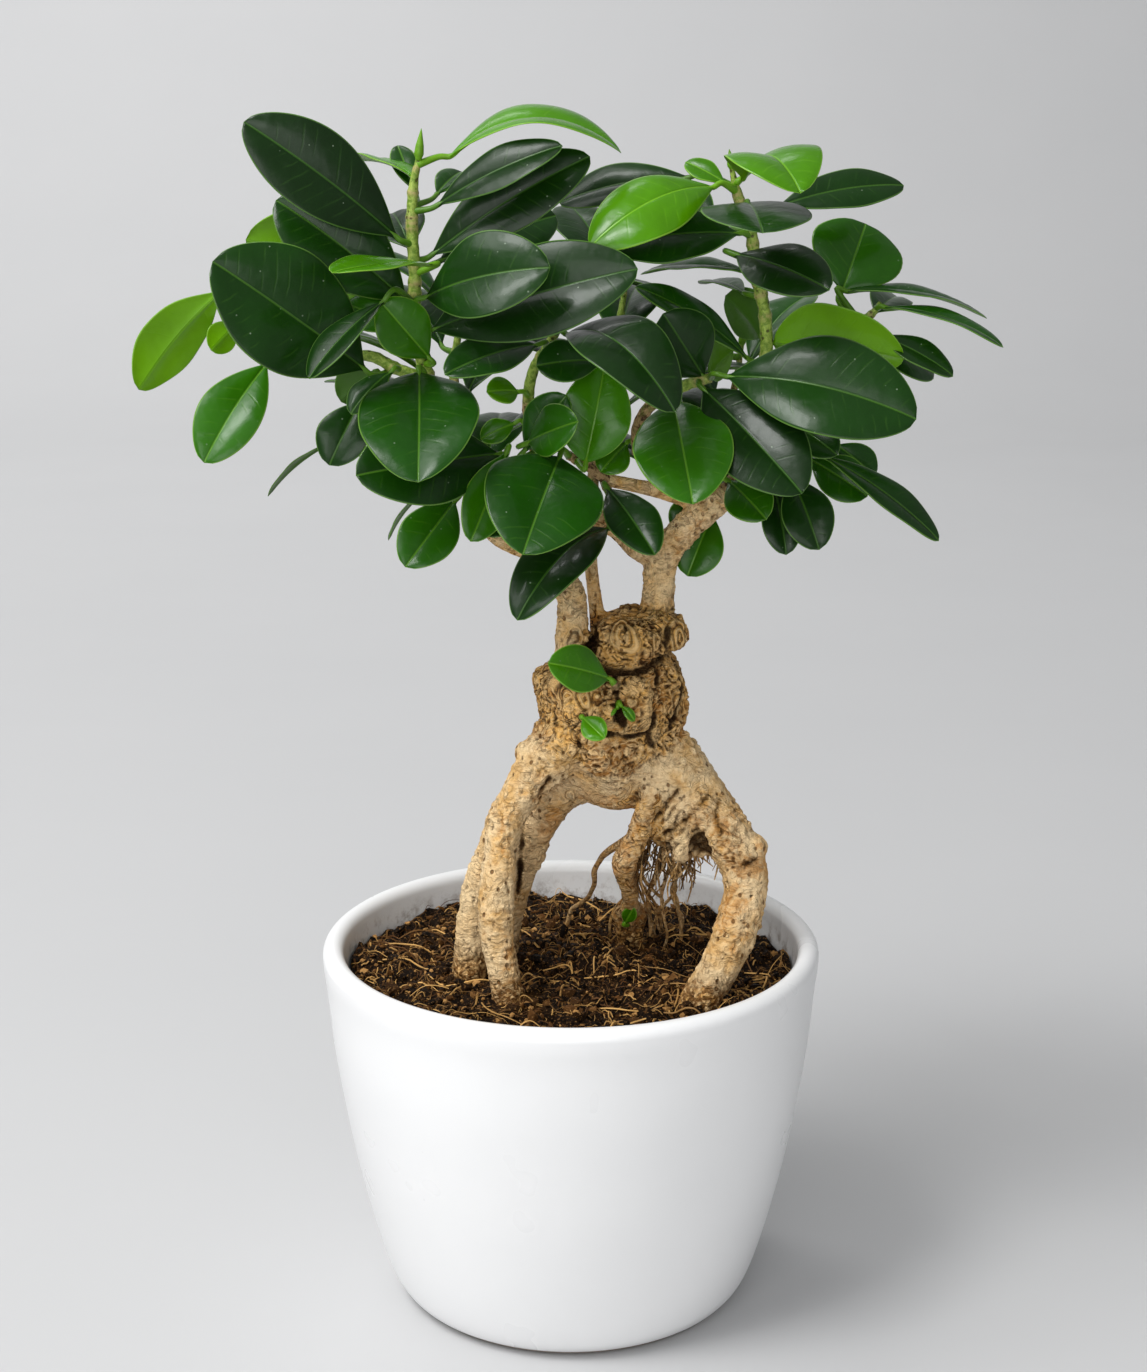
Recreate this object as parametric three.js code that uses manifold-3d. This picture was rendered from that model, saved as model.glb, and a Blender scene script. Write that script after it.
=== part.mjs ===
// Ficus bonsai grown on thick aerial roots, in a white glazed pot filled with soil.
// Units are millimetres. +Z is up, -Y is the front. The origin is the centre of the pot's underside.

import * as THREE from "three";
import { mergeVertices } from "three/addons/utils/BufferGeometryUtils.js";
import Module from "manifold-3d";

const wasm = await Module();
wasm.setup();

// Driving dimensions of the pot
const POT_HEIGHT = 104.7;
const RIM_RADIUS = 70;
const RIM_BEAD = 3;
const RIM_STEPS = 4;
const WALL = 6;
const FOOT_RADIUS = 47;
const FOOT_HEIGHT = 1.2;
const FLOOR_TOP = 8;
const FLOOR_RADIUS = 44;
const POT_SIDES = 36;
// Outer radius at shares of the height, the slightly bulged tumbler
const POT_SIDE = [[0.02, 49.0], [0.06, 51.9], [0.14, 54.9], [0.27, 58.6], [0.45, 62.8], [0.7, 67.1],
  [0.88, 69.0]];

// Driving dimensions of the soil
const GAP = 0.3;
const SOIL_LEVEL = 95;
const EDGE_STEP = 0.1;
const SOIL_RINGS = [55, 46, 36, 24, 12];

// Driving dimensions of the trunk: sides of its limbs, and the grooves down its belly
const BELLY_SIDES = 18;
const THICK_SIDES = 8;
const NECK_SIDES = 7;
const THIN_SIDES = 5;
const STEM_SIDES = 6;
const GROOVES = 7;
const GROOVE_DEPTH = 0.035;
const GROOVE_TURN = 0.12;
const LUMP_SIDES = 10;
const LUMP_RINGS = 6;
const CAP_SHARE = 0.35;
const KNOBBLE = 0.04;

// Driving dimensions of a leaf
const RIB_THICKNESS = 1.2;
const STALK_RADIUS = 0.95;
const SMALL_LEAF = 22;
const STATIONS = [0.12, 0.3, 0.5, 0.7, 0.88];
const FEW_STATIONS = [0.2, 0.5, 0.8];
const STALK_PLACES = 60;
const STALK_FROM = 8;
const LOW_STALK_COST = 0.6;
const LONGEST_BEND = 5;
// The smaller these are, the rounder a blade's base and tip
const BASE_POWER = 0.76;
const TIP_POWER = 0.56;

const vec = ([x, y, z]) => new THREE.Vector3(x, y, z);

// A small seeded generator, so that every run gives the same plant
function seeded(seed) {
  let state = seed;
  return () => {
    state = (state * 1664525 + 1013904223) % 4294967296;
    return state / 4294967296;
  };
}

// Closed geometry and solid conversions
function solidOf(geometry) {
  const bare = geometry.clone();
  bare.deleteAttribute("normal");
  bare.deleteAttribute("uv");
  const merged = mergeVertices(bare, 1e-4);
  const vertProperties = new Float32Array(merged.attributes.position.array);
  const triVerts = new Uint32Array(merged.index.array);
  return new wasm.Manifold(new wasm.Mesh({ numProp: 3, vertProperties, triVerts }));
}

function geometryOf(solid) {
  const mesh = solid.getMesh();
  const geometry = new THREE.BufferGeometry();
  geometry.setAttribute("position", new THREE.BufferAttribute(mesh.vertProperties, 3));
  geometry.setIndex(new THREE.BufferAttribute(mesh.triVerts, 1));
  geometry.computeVertexNormals();
  return geometry;
}

function meshGeometry(points, faces) {
  const geometry = new THREE.BufferGeometry();
  const numbers = points.flatMap((p) => [p.x, p.y, p.z]);
  geometry.setAttribute("position", new THREE.Float32BufferAttribute(numbers, 3));
  geometry.setIndex(faces.flat());
  return geometry;
}

function joined(solids) {
  return solids.reduce((whole, next) => whole.add(next));
}

// Rings of points, closed by a point at each end
function ringedGeometry(rings, first, last) {
  const sides = rings[0].length;
  const points = [first, ...rings.flat(), last];
  const faces = [];
  const at = (ring, k) => 1 + ring * sides + (k % sides);
  const end = points.length - 1;
  for (let k = 0; k < sides; k += 1) {
    faces.push([0, at(0, k + 1), at(0, k)]);
    faces.push([end, at(rings.length - 1, k), at(rings.length - 1, k + 1)]);
  }
  for (let i = 0; i + 1 < rings.length; i += 1) {
    for (let k = 0; k < sides; k += 1) {
      faces.push([at(i, k), at(i, k + 1), at(i + 1, k + 1)]);
      faces.push([at(i, k), at(i + 1, k + 1), at(i + 1, k)]);
    }
  }
  return meshGeometry(points, faces);
}

// A limb is a smooth tube through hand-set points [x, y, z, radius]
function limbPath(points) {
  return new THREE.CatmullRomCurve3(points.map(vec), false, "catmullrom", 0.5);
}

function radiusAt(points, t) {
  const place = t * (points.length - 1);
  const i = Math.min(Math.floor(place), points.length - 2);
  return points[i][3] + (points[i + 1][3] - points[i][3]) * (place - i);
}

function limb(points, sides, grow = 0) {
  const path = limbPath(points);
  const steps = points.length - 1;
  const rings = [];
  let across = new THREE.Vector3(0, 1, 0);
  for (let i = 0; i <= steps; i += 1) {
    const t = i / steps;
    const centre = path.getPoint(t);
    const along = path.getTangent(t);
    across = across.clone().addScaledVector(along, -across.dot(along)).normalize();
    const other = along.clone().cross(across);
    const radius = radiusAt(points, t) + grow;
    const ring = [];
    for (let k = 0; k < sides; k += 1) {
      const angle = (2 * Math.PI * k) / sides;
      ring.push(centre.clone()
        .addScaledVector(across, radius * Math.cos(angle))
        .addScaledVector(other, radius * Math.sin(angle)));
    }
    rings.push(ring);
  }
  const capOf = (t, sign) => path.getPoint(t)
    .addScaledVector(path.getTangent(t), sign * (radiusAt(points, t) * CAP_SHARE + grow));
  return ringedGeometry(rings, capOf(0, -1), capOf(1, 1));
}

// A lump is a ball with three radii and a shallow knobbly surface
function lump([x, y, z], [rx, ry, rz]) {
  const geometry = new THREE.SphereGeometry(1, LUMP_SIDES, LUMP_RINGS);
  geometry.deleteAttribute("normal");
  geometry.deleteAttribute("uv");
  const ball = mergeVertices(geometry, 1e-4);
  const place = ball.attributes.position;
  for (let i = 0; i < place.count; i += 1) {
    const p = new THREE.Vector3().fromBufferAttribute(place, i);
    const swell = 1 + KNOBBLE * Math.sin(5 * p.x + x) * Math.cos(4 * p.z + z);
    place.setXYZ(i, x + rx * p.x * swell, y + ry * p.y * swell, z + rz * p.z * swell);
  }
  return ball;
}

// A stack is the swollen trunk, as rings [height, x, y, half width, half depth]
function stack(levels, sides) {
  const rings = levels.map(([z, x, y, wide, deep]) => {
    const ring = [];
    for (let k = 0; k < sides; k += 1) {
      const angle = (2 * Math.PI * k) / sides;
      const groove = 1 + GROOVE_DEPTH * Math.cos(GROOVES * angle + z * GROOVE_TURN);
      const px = x + wide * groove * Math.cos(angle);
      const py = y + deep * groove * Math.sin(angle);
      ring.push(new THREE.Vector3(px, py, z));
    }
    return ring;
  });
  const middle = ([z, x, y]) => new THREE.Vector3(x, y, z);
  return ringedGeometry(rings, middle(levels[0]), middle(levels[levels.length - 1]));
}

// Pot
function wallPoints(inset) {
  return POT_SIDE.map(([share, radius]) => [radius - inset, share * POT_HEIGHT]);
}

function potGeometry() {
  const profile = [[0, 0], [FOOT_RADIUS, 0], [FOOT_RADIUS, FOOT_HEIGHT]];
  profile.push(...wallPoints(0));
  const beadRadius = RIM_RADIUS - RIM_BEAD;
  const beadHeight = POT_HEIGHT - RIM_BEAD;
  for (let k = 0; k <= RIM_STEPS; k += 1) {
    const angle = (Math.PI * k) / RIM_STEPS;
    profile.push([beadRadius + RIM_BEAD * Math.cos(angle), beadHeight + RIM_BEAD * Math.sin(angle)]);
  }
  profile.push(...wallPoints(WALL).slice(2).reverse());
  profile.push([FLOOR_RADIUS, FLOOR_TOP], [0, FLOOR_TOP]);
  return latheZ(profile);
}

function latheZ(profile) {
  const points = profile.map(([radius, height]) => new THREE.Vector2(radius, height));
  const geometry = new THREE.LatheGeometry(points, POT_SIDES);
  geometry.rotateX(Math.PI / 2);
  return geometry;
}

// Soil
function soilHeight(x, y) {
  const mounds = 1.5 * Math.sin(0.085 * x + 0.6) * Math.cos(0.07 * y - 0.5);
  const dips = 0.9 * Math.sin(0.16 * y + 0.11 * x);
  const clods = 0.8 * Math.sin(0.47 * x + 0.23 * y) * Math.sin(0.39 * y - 0.17 * x + 1.1);
  return SOIL_LEVEL + mounds + dips + clods;
}

function soilGeometry() {
  const wall = wallPoints(WALL + GAP).slice(2);
  const side = [[FLOOR_RADIUS - GAP, FLOOR_TOP + GAP], ...wall];
  const edge = wall[wall.length - 1][0] + EDGE_STEP;
  const rings = [];
  const ringAt = (radius, height) => {
    const ring = [];
    for (let k = 0; k < POT_SIDES; k += 1) {
      const angle = (2 * Math.PI * k) / POT_SIDES;
      const x = radius * Math.cos(angle);
      const y = radius * Math.sin(angle);
      ring.push(new THREE.Vector3(x, y, height ?? soilHeight(x, y)));
    }
    return ring;
  };
  side.forEach(([radius, height]) => rings.push(ringAt(radius, height)));
  rings.push(ringAt(edge));
  SOIL_RINGS.forEach((radius) => rings.push(ringAt(radius)));
  const bottom = new THREE.Vector3(0, 0, FLOOR_TOP + GAP);
  const top = new THREE.Vector3(0, 0, soilHeight(0, 0));
  return ringedGeometry(rings, bottom, top);
}

// Trunk: the swollen belly and head
const BELLY = [
  [143, 13, 3, 5, 5], [146, 13.5, 3, 10.5, 10], [152, 13, 3, 15.5, 14], [158, 12.3, 2.5, 18, 16],
  [164.5, 11.5, 2, 18.2, 16.5], [170, 11.4, 2, 19.6, 17.5], [176, 11, 2, 20.8, 18.3],
  [181.5, 10.6, 2, 20.2, 17], [184.8, 13, 2, 16.2, 13.8], [186.6, 14.6, 2, 12.6, 12],
  [189.5, 17.6, 2, 12.6, 12.2], [193.5, 18.5, 2, 12.8, 12], [197.3, 19, 2, 11, 9.8],
  [199.6, 20, 2, 6, 5.4],
];

// Roots, from the belly down into the soil
const ROOTS = {
  front_leg: [[0, -4, 166, 9], [-6, -6, 159.5, 7.6], [-12.2, -9, 152.5, 5.6], [-17.3, -12.5, 143, 4.7],
    [-19.4, -16, 133, 4.8], [-20.4, -20, 122.5, 4.9], [-20.1, -22.5, 112, 4.6], [-18, -25, 101, 4.3],
    [-15.5, -27, 85, 4]],
  outer_leg: [[-16, -8.5, 148, 4], [-20.4, -7.5, 136, 4.4], [-24.8, -5.5, 123.5, 4.5],
    [-27, -4.5, 114, 4.6], [-28, -4, 104, 4.7], [-28.6, -4, 96, 4.9], [-28.8, -4, 85, 4.3]],
  back_leg: [[6, 3, 153, 8], [-3, 5, 147.5, 7.2], [-8.6, 7, 138.5, 6], [-13.6, 9, 126, 5.4],
    [-17, 10, 114, 5.1], [-19.2, 11, 102, 4.8], [-19.6, 11, 85, 4.2]],
  right_leg: [[20, 0, 160, 11], [30, -1, 151, 10], [39, -4, 141, 8], [46.2, -9, 133, 6.8],
    [48.6, -13, 124, 6], [45.7, -18, 114, 5.8], [40.2, -22, 103, 5.6], [35, -25, 94, 5.6],
    [31.5, -27, 84, 5]],
  central_root: [[22.6, -3, 154, 4.8], [22, -7.5, 148.8, 3.4], [20, -7.4, 141.5, 3],
    [18, -5.4, 135, 3.1], [15.4, -3, 128.5, 3.8], [15.2, 0, 123, 2.7], [17, 6, 116, 2.2],
    [17.2, 13, 110, 2.2], [17.2, 20, 104.5, 3.6], [17.2, 22, 94, 3.6], [17.2, 22, 84, 2.8]],
};
const THIN_ROOTS = [
  [[17.4, -5, 137, 1.6], [8.2, 8, 124.7, 1.2], [6.3, 15, 114.6, 1], [4.1, 22, 107.7, 0.9],
    [-0.3, 28, 101.8, 0.9], [-2.5, 30, 90, 0.8]],
  [[28, 6, 135, 1.4], [25, 12, 121, 0.9], [22.5, 17, 112, 0.8], [23, 22, 104, 0.8], [24, 25, 90, 0.8]],
  [[33, 4, 133, 1.3], [31, 10, 122, 0.9], [29.5, 15, 114, 0.8], [31.5, 20, 106, 0.8], [33, 23, 90, 0.8]],
];

// Necks and woody branches above the head
const NECKS = {
  right_neck: [[20.5, 3, 189, 6], [23.3, 4, 197, 4.7], [24.1, 4, 205, 4.3], [25, 3.8, 212, 4.5],
    [28.5, 2, 219, 4.1], [37, -2, 228, 3.9], [42, -3, 232.5, 3.4]],
  left_neck: [[3, -1, 184, 6], [0.8, -2, 190, 5.2], [0.4, -2, 197, 4.1], [0, -2, 205, 3.9],
    [-3.5, -1, 211, 3.3], [-9, 0, 215, 2.7], [-15.5, 0, 217.3, 2.4], [-21, -1, 221, 2.3],
    [-25, -2.5, 228, 2.2], [-26.6, -3, 233, 2.2]],
  cross_branch: [[25, 4, 213, 3.4], [18.7, 5, 215, 2.9], [13.2, 6, 220, 2.7], [6, 5, 225, 2.6],
    [-1, 4, 229, 2.4]],
  thin_limb: [[8, 3, 192, 2.8], [7, 4, 199, 2.1], [6.1, 4, 206, 1.9], [5.4, 4.4, 214, 1.9],
    [6, 5, 225, 1.9]],
  centre_twig: [[38, -1, 227.5, 2.4], [31, 2.5, 229.8, 2.3], [24.5, 3, 231.8, 2.2], [17, 2, 233.6, 1.9],
    [9.8, 0.5, 235.3, 1.8]],
};

// Knots, scars and stubs on the bark
const LUMPS = [
  { at: [28.2, 0, 192.3], size: [4.4, 4.6, 4.8] },
  { at: [29, 0, 143.5], size: [11, 10, 12] },
  { at: [36, -1.5, 139.5], size: [9, 8.6, 9.6] },
  { at: [-10.8, -5.5, 160.5], size: [4.9, 4.8, 4] },
  { at: [50.7, -9.5, 134.2], size: [3.8, 4, 4] },
  { at: [10, -15.3, 174.5], size: [3.1, 2.6, 3.1] },
  { at: [30.4, -9, 134.5], size: [2.1, 2.3, 4.4] },
  { at: [17.2, 21.5, 103.5], size: [4.9, 4.6, 4.4] },
];

function woodyLimbs(grow) {
  const thick = Object.values(ROOTS).map((points) => limb(points, THICK_SIDES, grow));
  const thin = THIN_ROOTS.map((points) => limb(points, THIN_SIDES, grow));
  const necks = Object.values(NECKS).map((points) => limb(points, NECK_SIDES, grow));
  return [...thick, ...thin, ...necks];
}

function trunkSolid() {
  const lumps = LUMPS.map(({ at, size }) => lump(at, size));
  return joined([stack(BELLY, BELLY_SIDES), ...woodyLimbs(0), ...lumps].map(solidOf));
}

// What keeps clear of the bark is cut by the same limbs, grown by the gap
function barkClearance() {
  const lumps = LUMPS.map(({ at, size }) => lump(at, size.map((radius) => radius + GAP)));
  const grown = BELLY.map(([z, x, y, wide, deep]) => [z, x, y, wide + GAP, deep + GAP]);
  const belly = stack(grown, BELLY_SIDES);
  return joined([belly, ...woodyLimbs(GAP), ...lumps].map(solidOf));
}

// Leaf blade: obovate, with its rib on a parabola from foot to tip, folded along the rib
function bladeFrame({ foot, tip, face }) {
  const chord = vec(tip).sub(vec(foot));
  const length = chord.length();
  const along = chord.clone().normalize();
  const up = vec(face).addScaledVector(along, -vec(face).dot(along)).normalize();
  const side = along.clone().cross(up);
  return { length, along, up, side };
}

function halfWidth({ wide, full = 0.56 }, u) {
  const skew = Math.log(0.5) / Math.log(full);
  const power = BASE_POWER + (TIP_POWER - BASE_POWER) * u;
  return (wide / 2) * Math.sin(Math.PI * u ** skew) ** power;
}

function bladePoint(leaf, u, v) {
  const { arch = 0.06, fold = 0.12, curl = 0 } = leaf;
  const { length, along, up, side } = bladeFrame(leaf);
  const rise = 4 * arch * u * (1 - u) - curl * u ** 4;
  const slope = Math.atan(4 * arch * (1 - 2 * u) - 4 * curl * u ** 3);
  const normal = up.clone().multiplyScalar(Math.cos(slope)).addScaledVector(along, -Math.sin(slope));
  const half = halfWidth(leaf, u);
  return {
    point: vec(leaf.foot)
      .addScaledVector(along, length * u)
      .addScaledVector(up, length * rise)
      .addScaledVector(side, half * v)
      .addScaledVector(normal, half * fold * Math.abs(v)),
    normal,
  };
}

// A leaf is one closed solid: its stalk starts inside the nearest stem and widens into the blade
function nearestOnStems(stems, foot) {
  const wanted = vec(foot);
  let best = null;
  for (const points of stems) {
    const path = limbPath(points);
    for (let i = STALK_FROM; i <= STALK_PLACES; i += 1) {
      const place = path.getPoint(i / STALK_PLACES);
      const lift = wanted.z - place.z;
      const score = place.distanceTo(wanted) + Math.max(2 - lift, 0) * LOW_STALK_COST;
      if (best === null || score < best.score) {
        best = { place, score };
      }
    }
  }
  return best.place;
}

function stalkRings(leaf, stems) {
  const root = nearestOnStems(stems, leaf.foot);
  const foot = vec(leaf.foot);
  const { along, up } = bladeFrame(leaf);
  const bend = foot.clone().addScaledVector(along, -Math.min(0.35 * root.distanceTo(foot), LONGEST_BEND));
  const heading = bend.clone().sub(root).normalize();
  const middle = heading.clone().add(along).normalize();
  const rings = [];
  let above = up;
  for (const [centre, towards, radius] of [[foot, along, 0.8], [bend, middle, 1], [root, heading, 1]]) {
    above = above.clone().addScaledVector(towards, -above.dot(towards)).normalize();
    const side = towards.clone().cross(above);
    const reach = radius * STALK_RADIUS;
    rings.unshift([
      centre.clone().addScaledVector(above, reach),
      centre.clone().addScaledVector(side, reach),
      centre.clone().addScaledVector(above, -reach),
      centre.clone().addScaledVector(side, -reach),
    ]);
  }
  return { rings, root };
}

function leafGeometry(leaf, stems) {
  const { length } = bladeFrame(leaf);
  const stations = length < SMALL_LEAF ? FEW_STATIONS : STATIONS;
  const { rings, root } = stalkRings(leaf, stems);
  for (const u of stations) {
    const rib = bladePoint(leaf, u, 0);
    const thick = rib.normal.clone().multiplyScalar(RIB_THICKNESS / 2);
    const above = rib.point.clone().add(thick);
    const below = rib.point.clone().sub(thick);
    rings.push([above, bladePoint(leaf, u, 1).point, below, bladePoint(leaf, u, -1).point]);
  }
  return ringedGeometry(rings, root, bladePoint(leaf, 1, 0).point);
}

function shootSolid({ stems, leaves }) {
  const woody = stems.map((points) => limb(points, STEM_SIDES));
  const grown = leaves.map((leaf) => leafGeometry(leaf, stems));
  return joined([...woody, ...grown].map(solidOf));
}

// Leafy shoots. A leaf has its foot and tip, its full width, and the way its upper side faces.
const FRONT = [0, -1, 0.5];
const LIFTED = [0, -1, 0.9];
const LEVEL = [0, -0.15, 1];
const AWAY = [0, 1, 0.5];

const LEFT_SHOOT = {
  stems: [
    [[-26.4, -3, 232, 2.1], [-29, -4.5, 246, 2.1], [-35, -7, 258, 2], [-38.5, -8.5, 267, 1.9],
      [-40.5, -9.5, 280, 1.7], [-40.5, -10, 292, 1.6], [-41, -10, 303, 1.5], [-40.5, -10, 313, 1.3],
      [-39, -10, 321, 0.6]],
    [[-37.5, -8, 264, 1.6], [-45, -8, 266, 1.6], [-53, -6, 269.5, 1.5], [-62, -5, 268, 1.4],
      [-72, -4, 266, 1.2], [-81, -1, 272, 0.9]],
    [[-47, -7, 267, 1.2], [-52, -4, 260, 1.1], [-58, -2, 252, 0.9]],
    [[-28, -3.5, 240, 1.5], [-22, -6, 242, 1.3], [-17.5, -8.5, 243, 1]],
  ],
  leaves: [
    { foot: [-45, -13, 301], tip: [-82, -22, 330], wide: 22, face: FRONT },
    { foot: [-45, -3, 284], tip: [-86, 4, 299], wide: 28, face: AWAY },
    { foot: [-43, -8, 284], tip: [-76, -10, 310], wide: 23, face: FRONT },
    { foot: [-37, -14, 270], tip: [-49, -19, 285], wide: 15, face: FRONT },
    { foot: [-36, -15, 294], tip: [-59, -40, 294], wide: 16, face: LEVEL, arch: 0.03 },
    { foot: [-31, -8, 321], tip: [13, -6, 323], wide: 20, face: [0, -0.25, 1], arch: 0.2, curl: 0.03 },
    { foot: [-34, -12, 309], tip: [-2, -19, 324], wide: 13, face: LIFTED },
    { foot: [-36, -8, 296], tip: [5, -9, 321], wide: 18, face: FRONT },
    { foot: [-37, -18, 286], tip: [-5, -36, 295], wide: 23, face: FRONT, arch: 0.1 },
    { foot: [-36, -13, 277], tip: [17, -28, 294], wide: 25, face: FRONT },
    { foot: [-41, -6, 316], tip: [-57, 14, 319], wide: 14, face: [-0.2, 0.5, 1] },
    { foot: [-41, 0, 312], tip: [-46, 12, 323], wide: 7, face: LIFTED },
    { foot: [-35, 0, 311], tip: [-29, 14, 316], wide: 8, face: LIFTED },
    { foot: [-43, -10, 278], tip: [-59, -7, 283], wide: 11, face: FRONT },
    { foot: [-42, -2, 297], tip: [-48, 18, 305], wide: 14, face: FRONT },
    { foot: [-35, 8, 293], tip: [-4, 24, 304], wide: 18, face: FRONT },
    { foot: [-39.5, -14, 266], tip: [-38, -48, 243], wide: 31, face: [0, -1, 0.3], full: 0.5 },
    { foot: [-54, -13, 267], tip: [-90, -30, 296], wide: 32, face: FRONT },
    { foot: [-48, -22, 285], tip: [-66, -34, 267], wide: 14, face: [-0.8, -0.7, 0.5] },
    { foot: [-93, 2, 285.5], tip: [-115, -2, 260], wide: 18, face: [-0.5, 1, 0.5] },
    { foot: [-89, 6, 277], tip: [-96, 2, 270], wide: 9, face: AWAY },
    { foot: [-80, -8, 267.5], tip: [-95, -24, 244], wide: 17, face: FRONT },
    { foot: [-66, -2, 245], tip: [-81, -6, 232], wide: 9, face: [-0.9, 0.2, 0.8] },
    { foot: [-56, -4, 257], tip: [-64, -10, 241], wide: 14, face: FRONT },
    { foot: [-52, -6, 265], tip: [-61, -4, 257], wide: 12, face: AWAY },
    { foot: [-47, -13, 266], tip: [-57, -20, 256], wide: 10, face: [-0.6, -0.8, 0.3] },
    { foot: [-19, -10, 244], tip: [-55, -32, 242], wide: 24, face: FRONT },
    { foot: [-31, -8, 231], tip: [-43.5, -22, 216], wide: 15.5, face: FRONT },
    { foot: [-17, -15, 245], tip: [-26, -28, 224], wide: 13, face: [0.2, -1, 0.3] },
    { foot: [-41, 0, 231], tip: [-49, -6, 220], wide: 8, face: [-0.9, 0.1, 0.6] },
    { foot: [-14, -6, 231], tip: [-22, -16, 223], wide: 9, face: FRONT },
  ],
};

const MIDDLE_LEFT_SHOOT = {
  stems: [
    [[-0.5, 4.2, 228.5, 1.9], [-6, 3, 236, 1.8], [-10, 1, 246, 1.7], [-11.3, 0, 256, 1.6],
      [-10, -1.5, 265, 1.5], [-6, -4, 272, 1.2], [-3, -6, 277, 0.9]],
  ],
  leaves: [
    { foot: [-9, -12, 273], tip: [-32, -30, 267.5], wide: 14, face: [0, -0.8, 0.8] },
    { foot: [-12, -8, 245], tip: [-1, -12, 260], wide: 13, face: FRONT },
    { foot: [-11, -12, 247.5], tip: [2, -26, 255], wide: 14, face: FRONT },
    { foot: [-14, -6, 260], tip: [-22, -14, 261], wide: 8, face: FRONT },
    { foot: [-15, -2, 251], tip: [-24, -4, 247], wide: 7, face: FRONT },
    { foot: [-1, -14, 276], tip: [26, -44, 260], wide: 22, face: [0.4, -1, 0.6], arch: 0.22 },
  ],
};

const CENTRE_SHOOT = {
  stems: [
    [[9.8, 0.5, 235.3, 1.6], [4.5, -2, 239.5, 1.4], [-0.5, -6, 243, 1.1]],
    [[4.5, -2, 239.5, 1.2], [5.5, -3, 250, 1.1], [8, -2, 262, 0.9]],
    [[8, 0, 237, 1.2], [11.5, 1, 229, 1.1], [13, 1, 224, 0.9]],
  ],
  leaves: [
    { foot: [-3, -16, 244], tip: [-12, -50, 225], wide: 31, face: [0, -1, 0.3], full: 0.5 },
    { foot: [10, 0, 222], tip: [-14, -28, 203], wide: 19, face: [-0.5, -1, 0.6], arch: 0.16 },
    { foot: [4, -10, 242], tip: [9, -4, 267], wide: 19, face: [0, -1, 0.2], full: 0.45 },
    { foot: [10, -6, 234], tip: [22, -26, 220], wide: 14, face: [0.3, -1, 0.2] },
    { foot: [9, -6, 268], tip: [-9, -16, 268], wide: 12, face: FRONT, full: 0.62 },
  ],
};

const MIDDLE_RIGHT_SHOOT = {
  stems: [
    [[26, 3, 231.5, 1.9], [21, 3, 238, 1.9], [18, 2, 245, 1.8], [19, 1, 252, 1.7], [24, -1, 258, 1.6],
      [31, -3, 261.5, 1.6], [37, -4, 263.5, 1.2]],
  ],
  leaves: [
    { foot: [15, 2, 245], tip: [8, -3, 238], wide: 10, face: FRONT },
    { foot: [27, -8, 258], tip: [31, -40, 236], wide: 26, face: [0, -1, 0.35] },
    { foot: [35, -9, 261], tip: [59, -36, 238], wide: 24, face: [0.1, -1, 0.45] },
    { foot: [41, -14, 265], tip: [88, -32, 256.5], wide: 28, face: [0, -1, 0.6], arch: 0.1 },
    { foot: [35, -4, 264], tip: [24, -10, 281], wide: 19, face: FRONT },
    { foot: [37, 2, 263], tip: [44, 10, 269], wide: 12, face: AWAY },
  ],
};

const RIGHT_SHOOT = {
  stems: [
    [[42, -3, 232.5, 2.6], [46.5, -4, 240, 2.3], [50, -2, 252, 2], [52, 0, 265, 1.9],
      [51.5, 0, 279, 1.7], [49, 0, 291, 1.6], [47, 0, 303, 1.5], [44, 0, 310, 1.3], [42, 0, 318, 0.6]],
    [[51, -1, 262, 1.6], [62, 4, 270, 1.5], [72, 7, 275, 1.3], [80, 8, 278.5, 1.1], [83, 8, 282, 0.7]],
  ],
  leaves: [
    { foot: [47, 3, 268], tip: [17, -1, 287], wide: 14, face: [0.2, -0.5, 0.9] },
    { foot: [54, 2, 272], tip: [88, -6, 269], wide: 28, face: [0.1, 0.75, 0.65], full: 0.4 },
    { foot: [43, -9, 296], tip: [65, -32, 289], wide: 18, face: LIFTED, fold: 0.02 },
    { foot: [45, -2, 315], tip: [57, -34, 313], wide: 24, face: [0, -0.4, 1], arch: 0.22 },
    { foot: [55, 6, 307.5], tip: [89, 14, 312.5], wide: 13, face: LIFTED, fold: 0.02 },
    { foot: [37, -5, 313], tip: [5, -22, 299], wide: 21, face: [-0.2, -1, 0.9], fold: -0.15, arch: 0.15 },
    { foot: [31, 5, 315], tip: [-3, 12, 308], wide: 13, face: LIFTED },
    { foot: [46, -6, 309], tip: [47, -44, 304], wide: 28, face: LEVEL, arch: 0.03, fold: 0.05 },
    { foot: [44, -2, 301], tip: [9, -12, 298], wide: 19, face: LIFTED },
    { foot: [46, 0, 291], tip: [19, 14, 289], wide: 14, face: LEVEL },
    { foot: [46, 4, 285], tip: [37, 30, 285], wide: 10, face: LEVEL },
    { foot: [51, 6, 273], tip: [42, 18, 283], wide: 14, face: AWAY },
    { foot: [38, 6, 303], tip: [27, 22, 310], wide: 12, face: FRONT },
    { foot: [40, -2, 314], tip: [30, 3, 319], wide: 7, face: LIFTED },
    { foot: [73, 11, 285], tip: [80, 22, 302], wide: 26, face: [0.1, -1, 0.3], full: 0.52 },
    { foot: [74, 8, 285], tip: [113, 16, 277], wide: 13, face: LEVEL, arch: 0.08 },
    { foot: [84, 6, 281], tip: [115, 0, 271], wide: 12, face: LEVEL, arch: 0.08 },
    { foot: [82, 12, 279], tip: [91, 34, 281], wide: 12, face: LIFTED },
    { foot: [82, 0, 274], tip: [101, -6, 264], wide: 12, face: [0.2, -0.5, 0.8] },
    { foot: [81, 6, 270], tip: [99, 14, 262], wide: 12, face: LIFTED },
    { foot: [42, -12, 237], tip: [51, -24, 229], wide: 13, face: FRONT },
  ],
};

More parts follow.
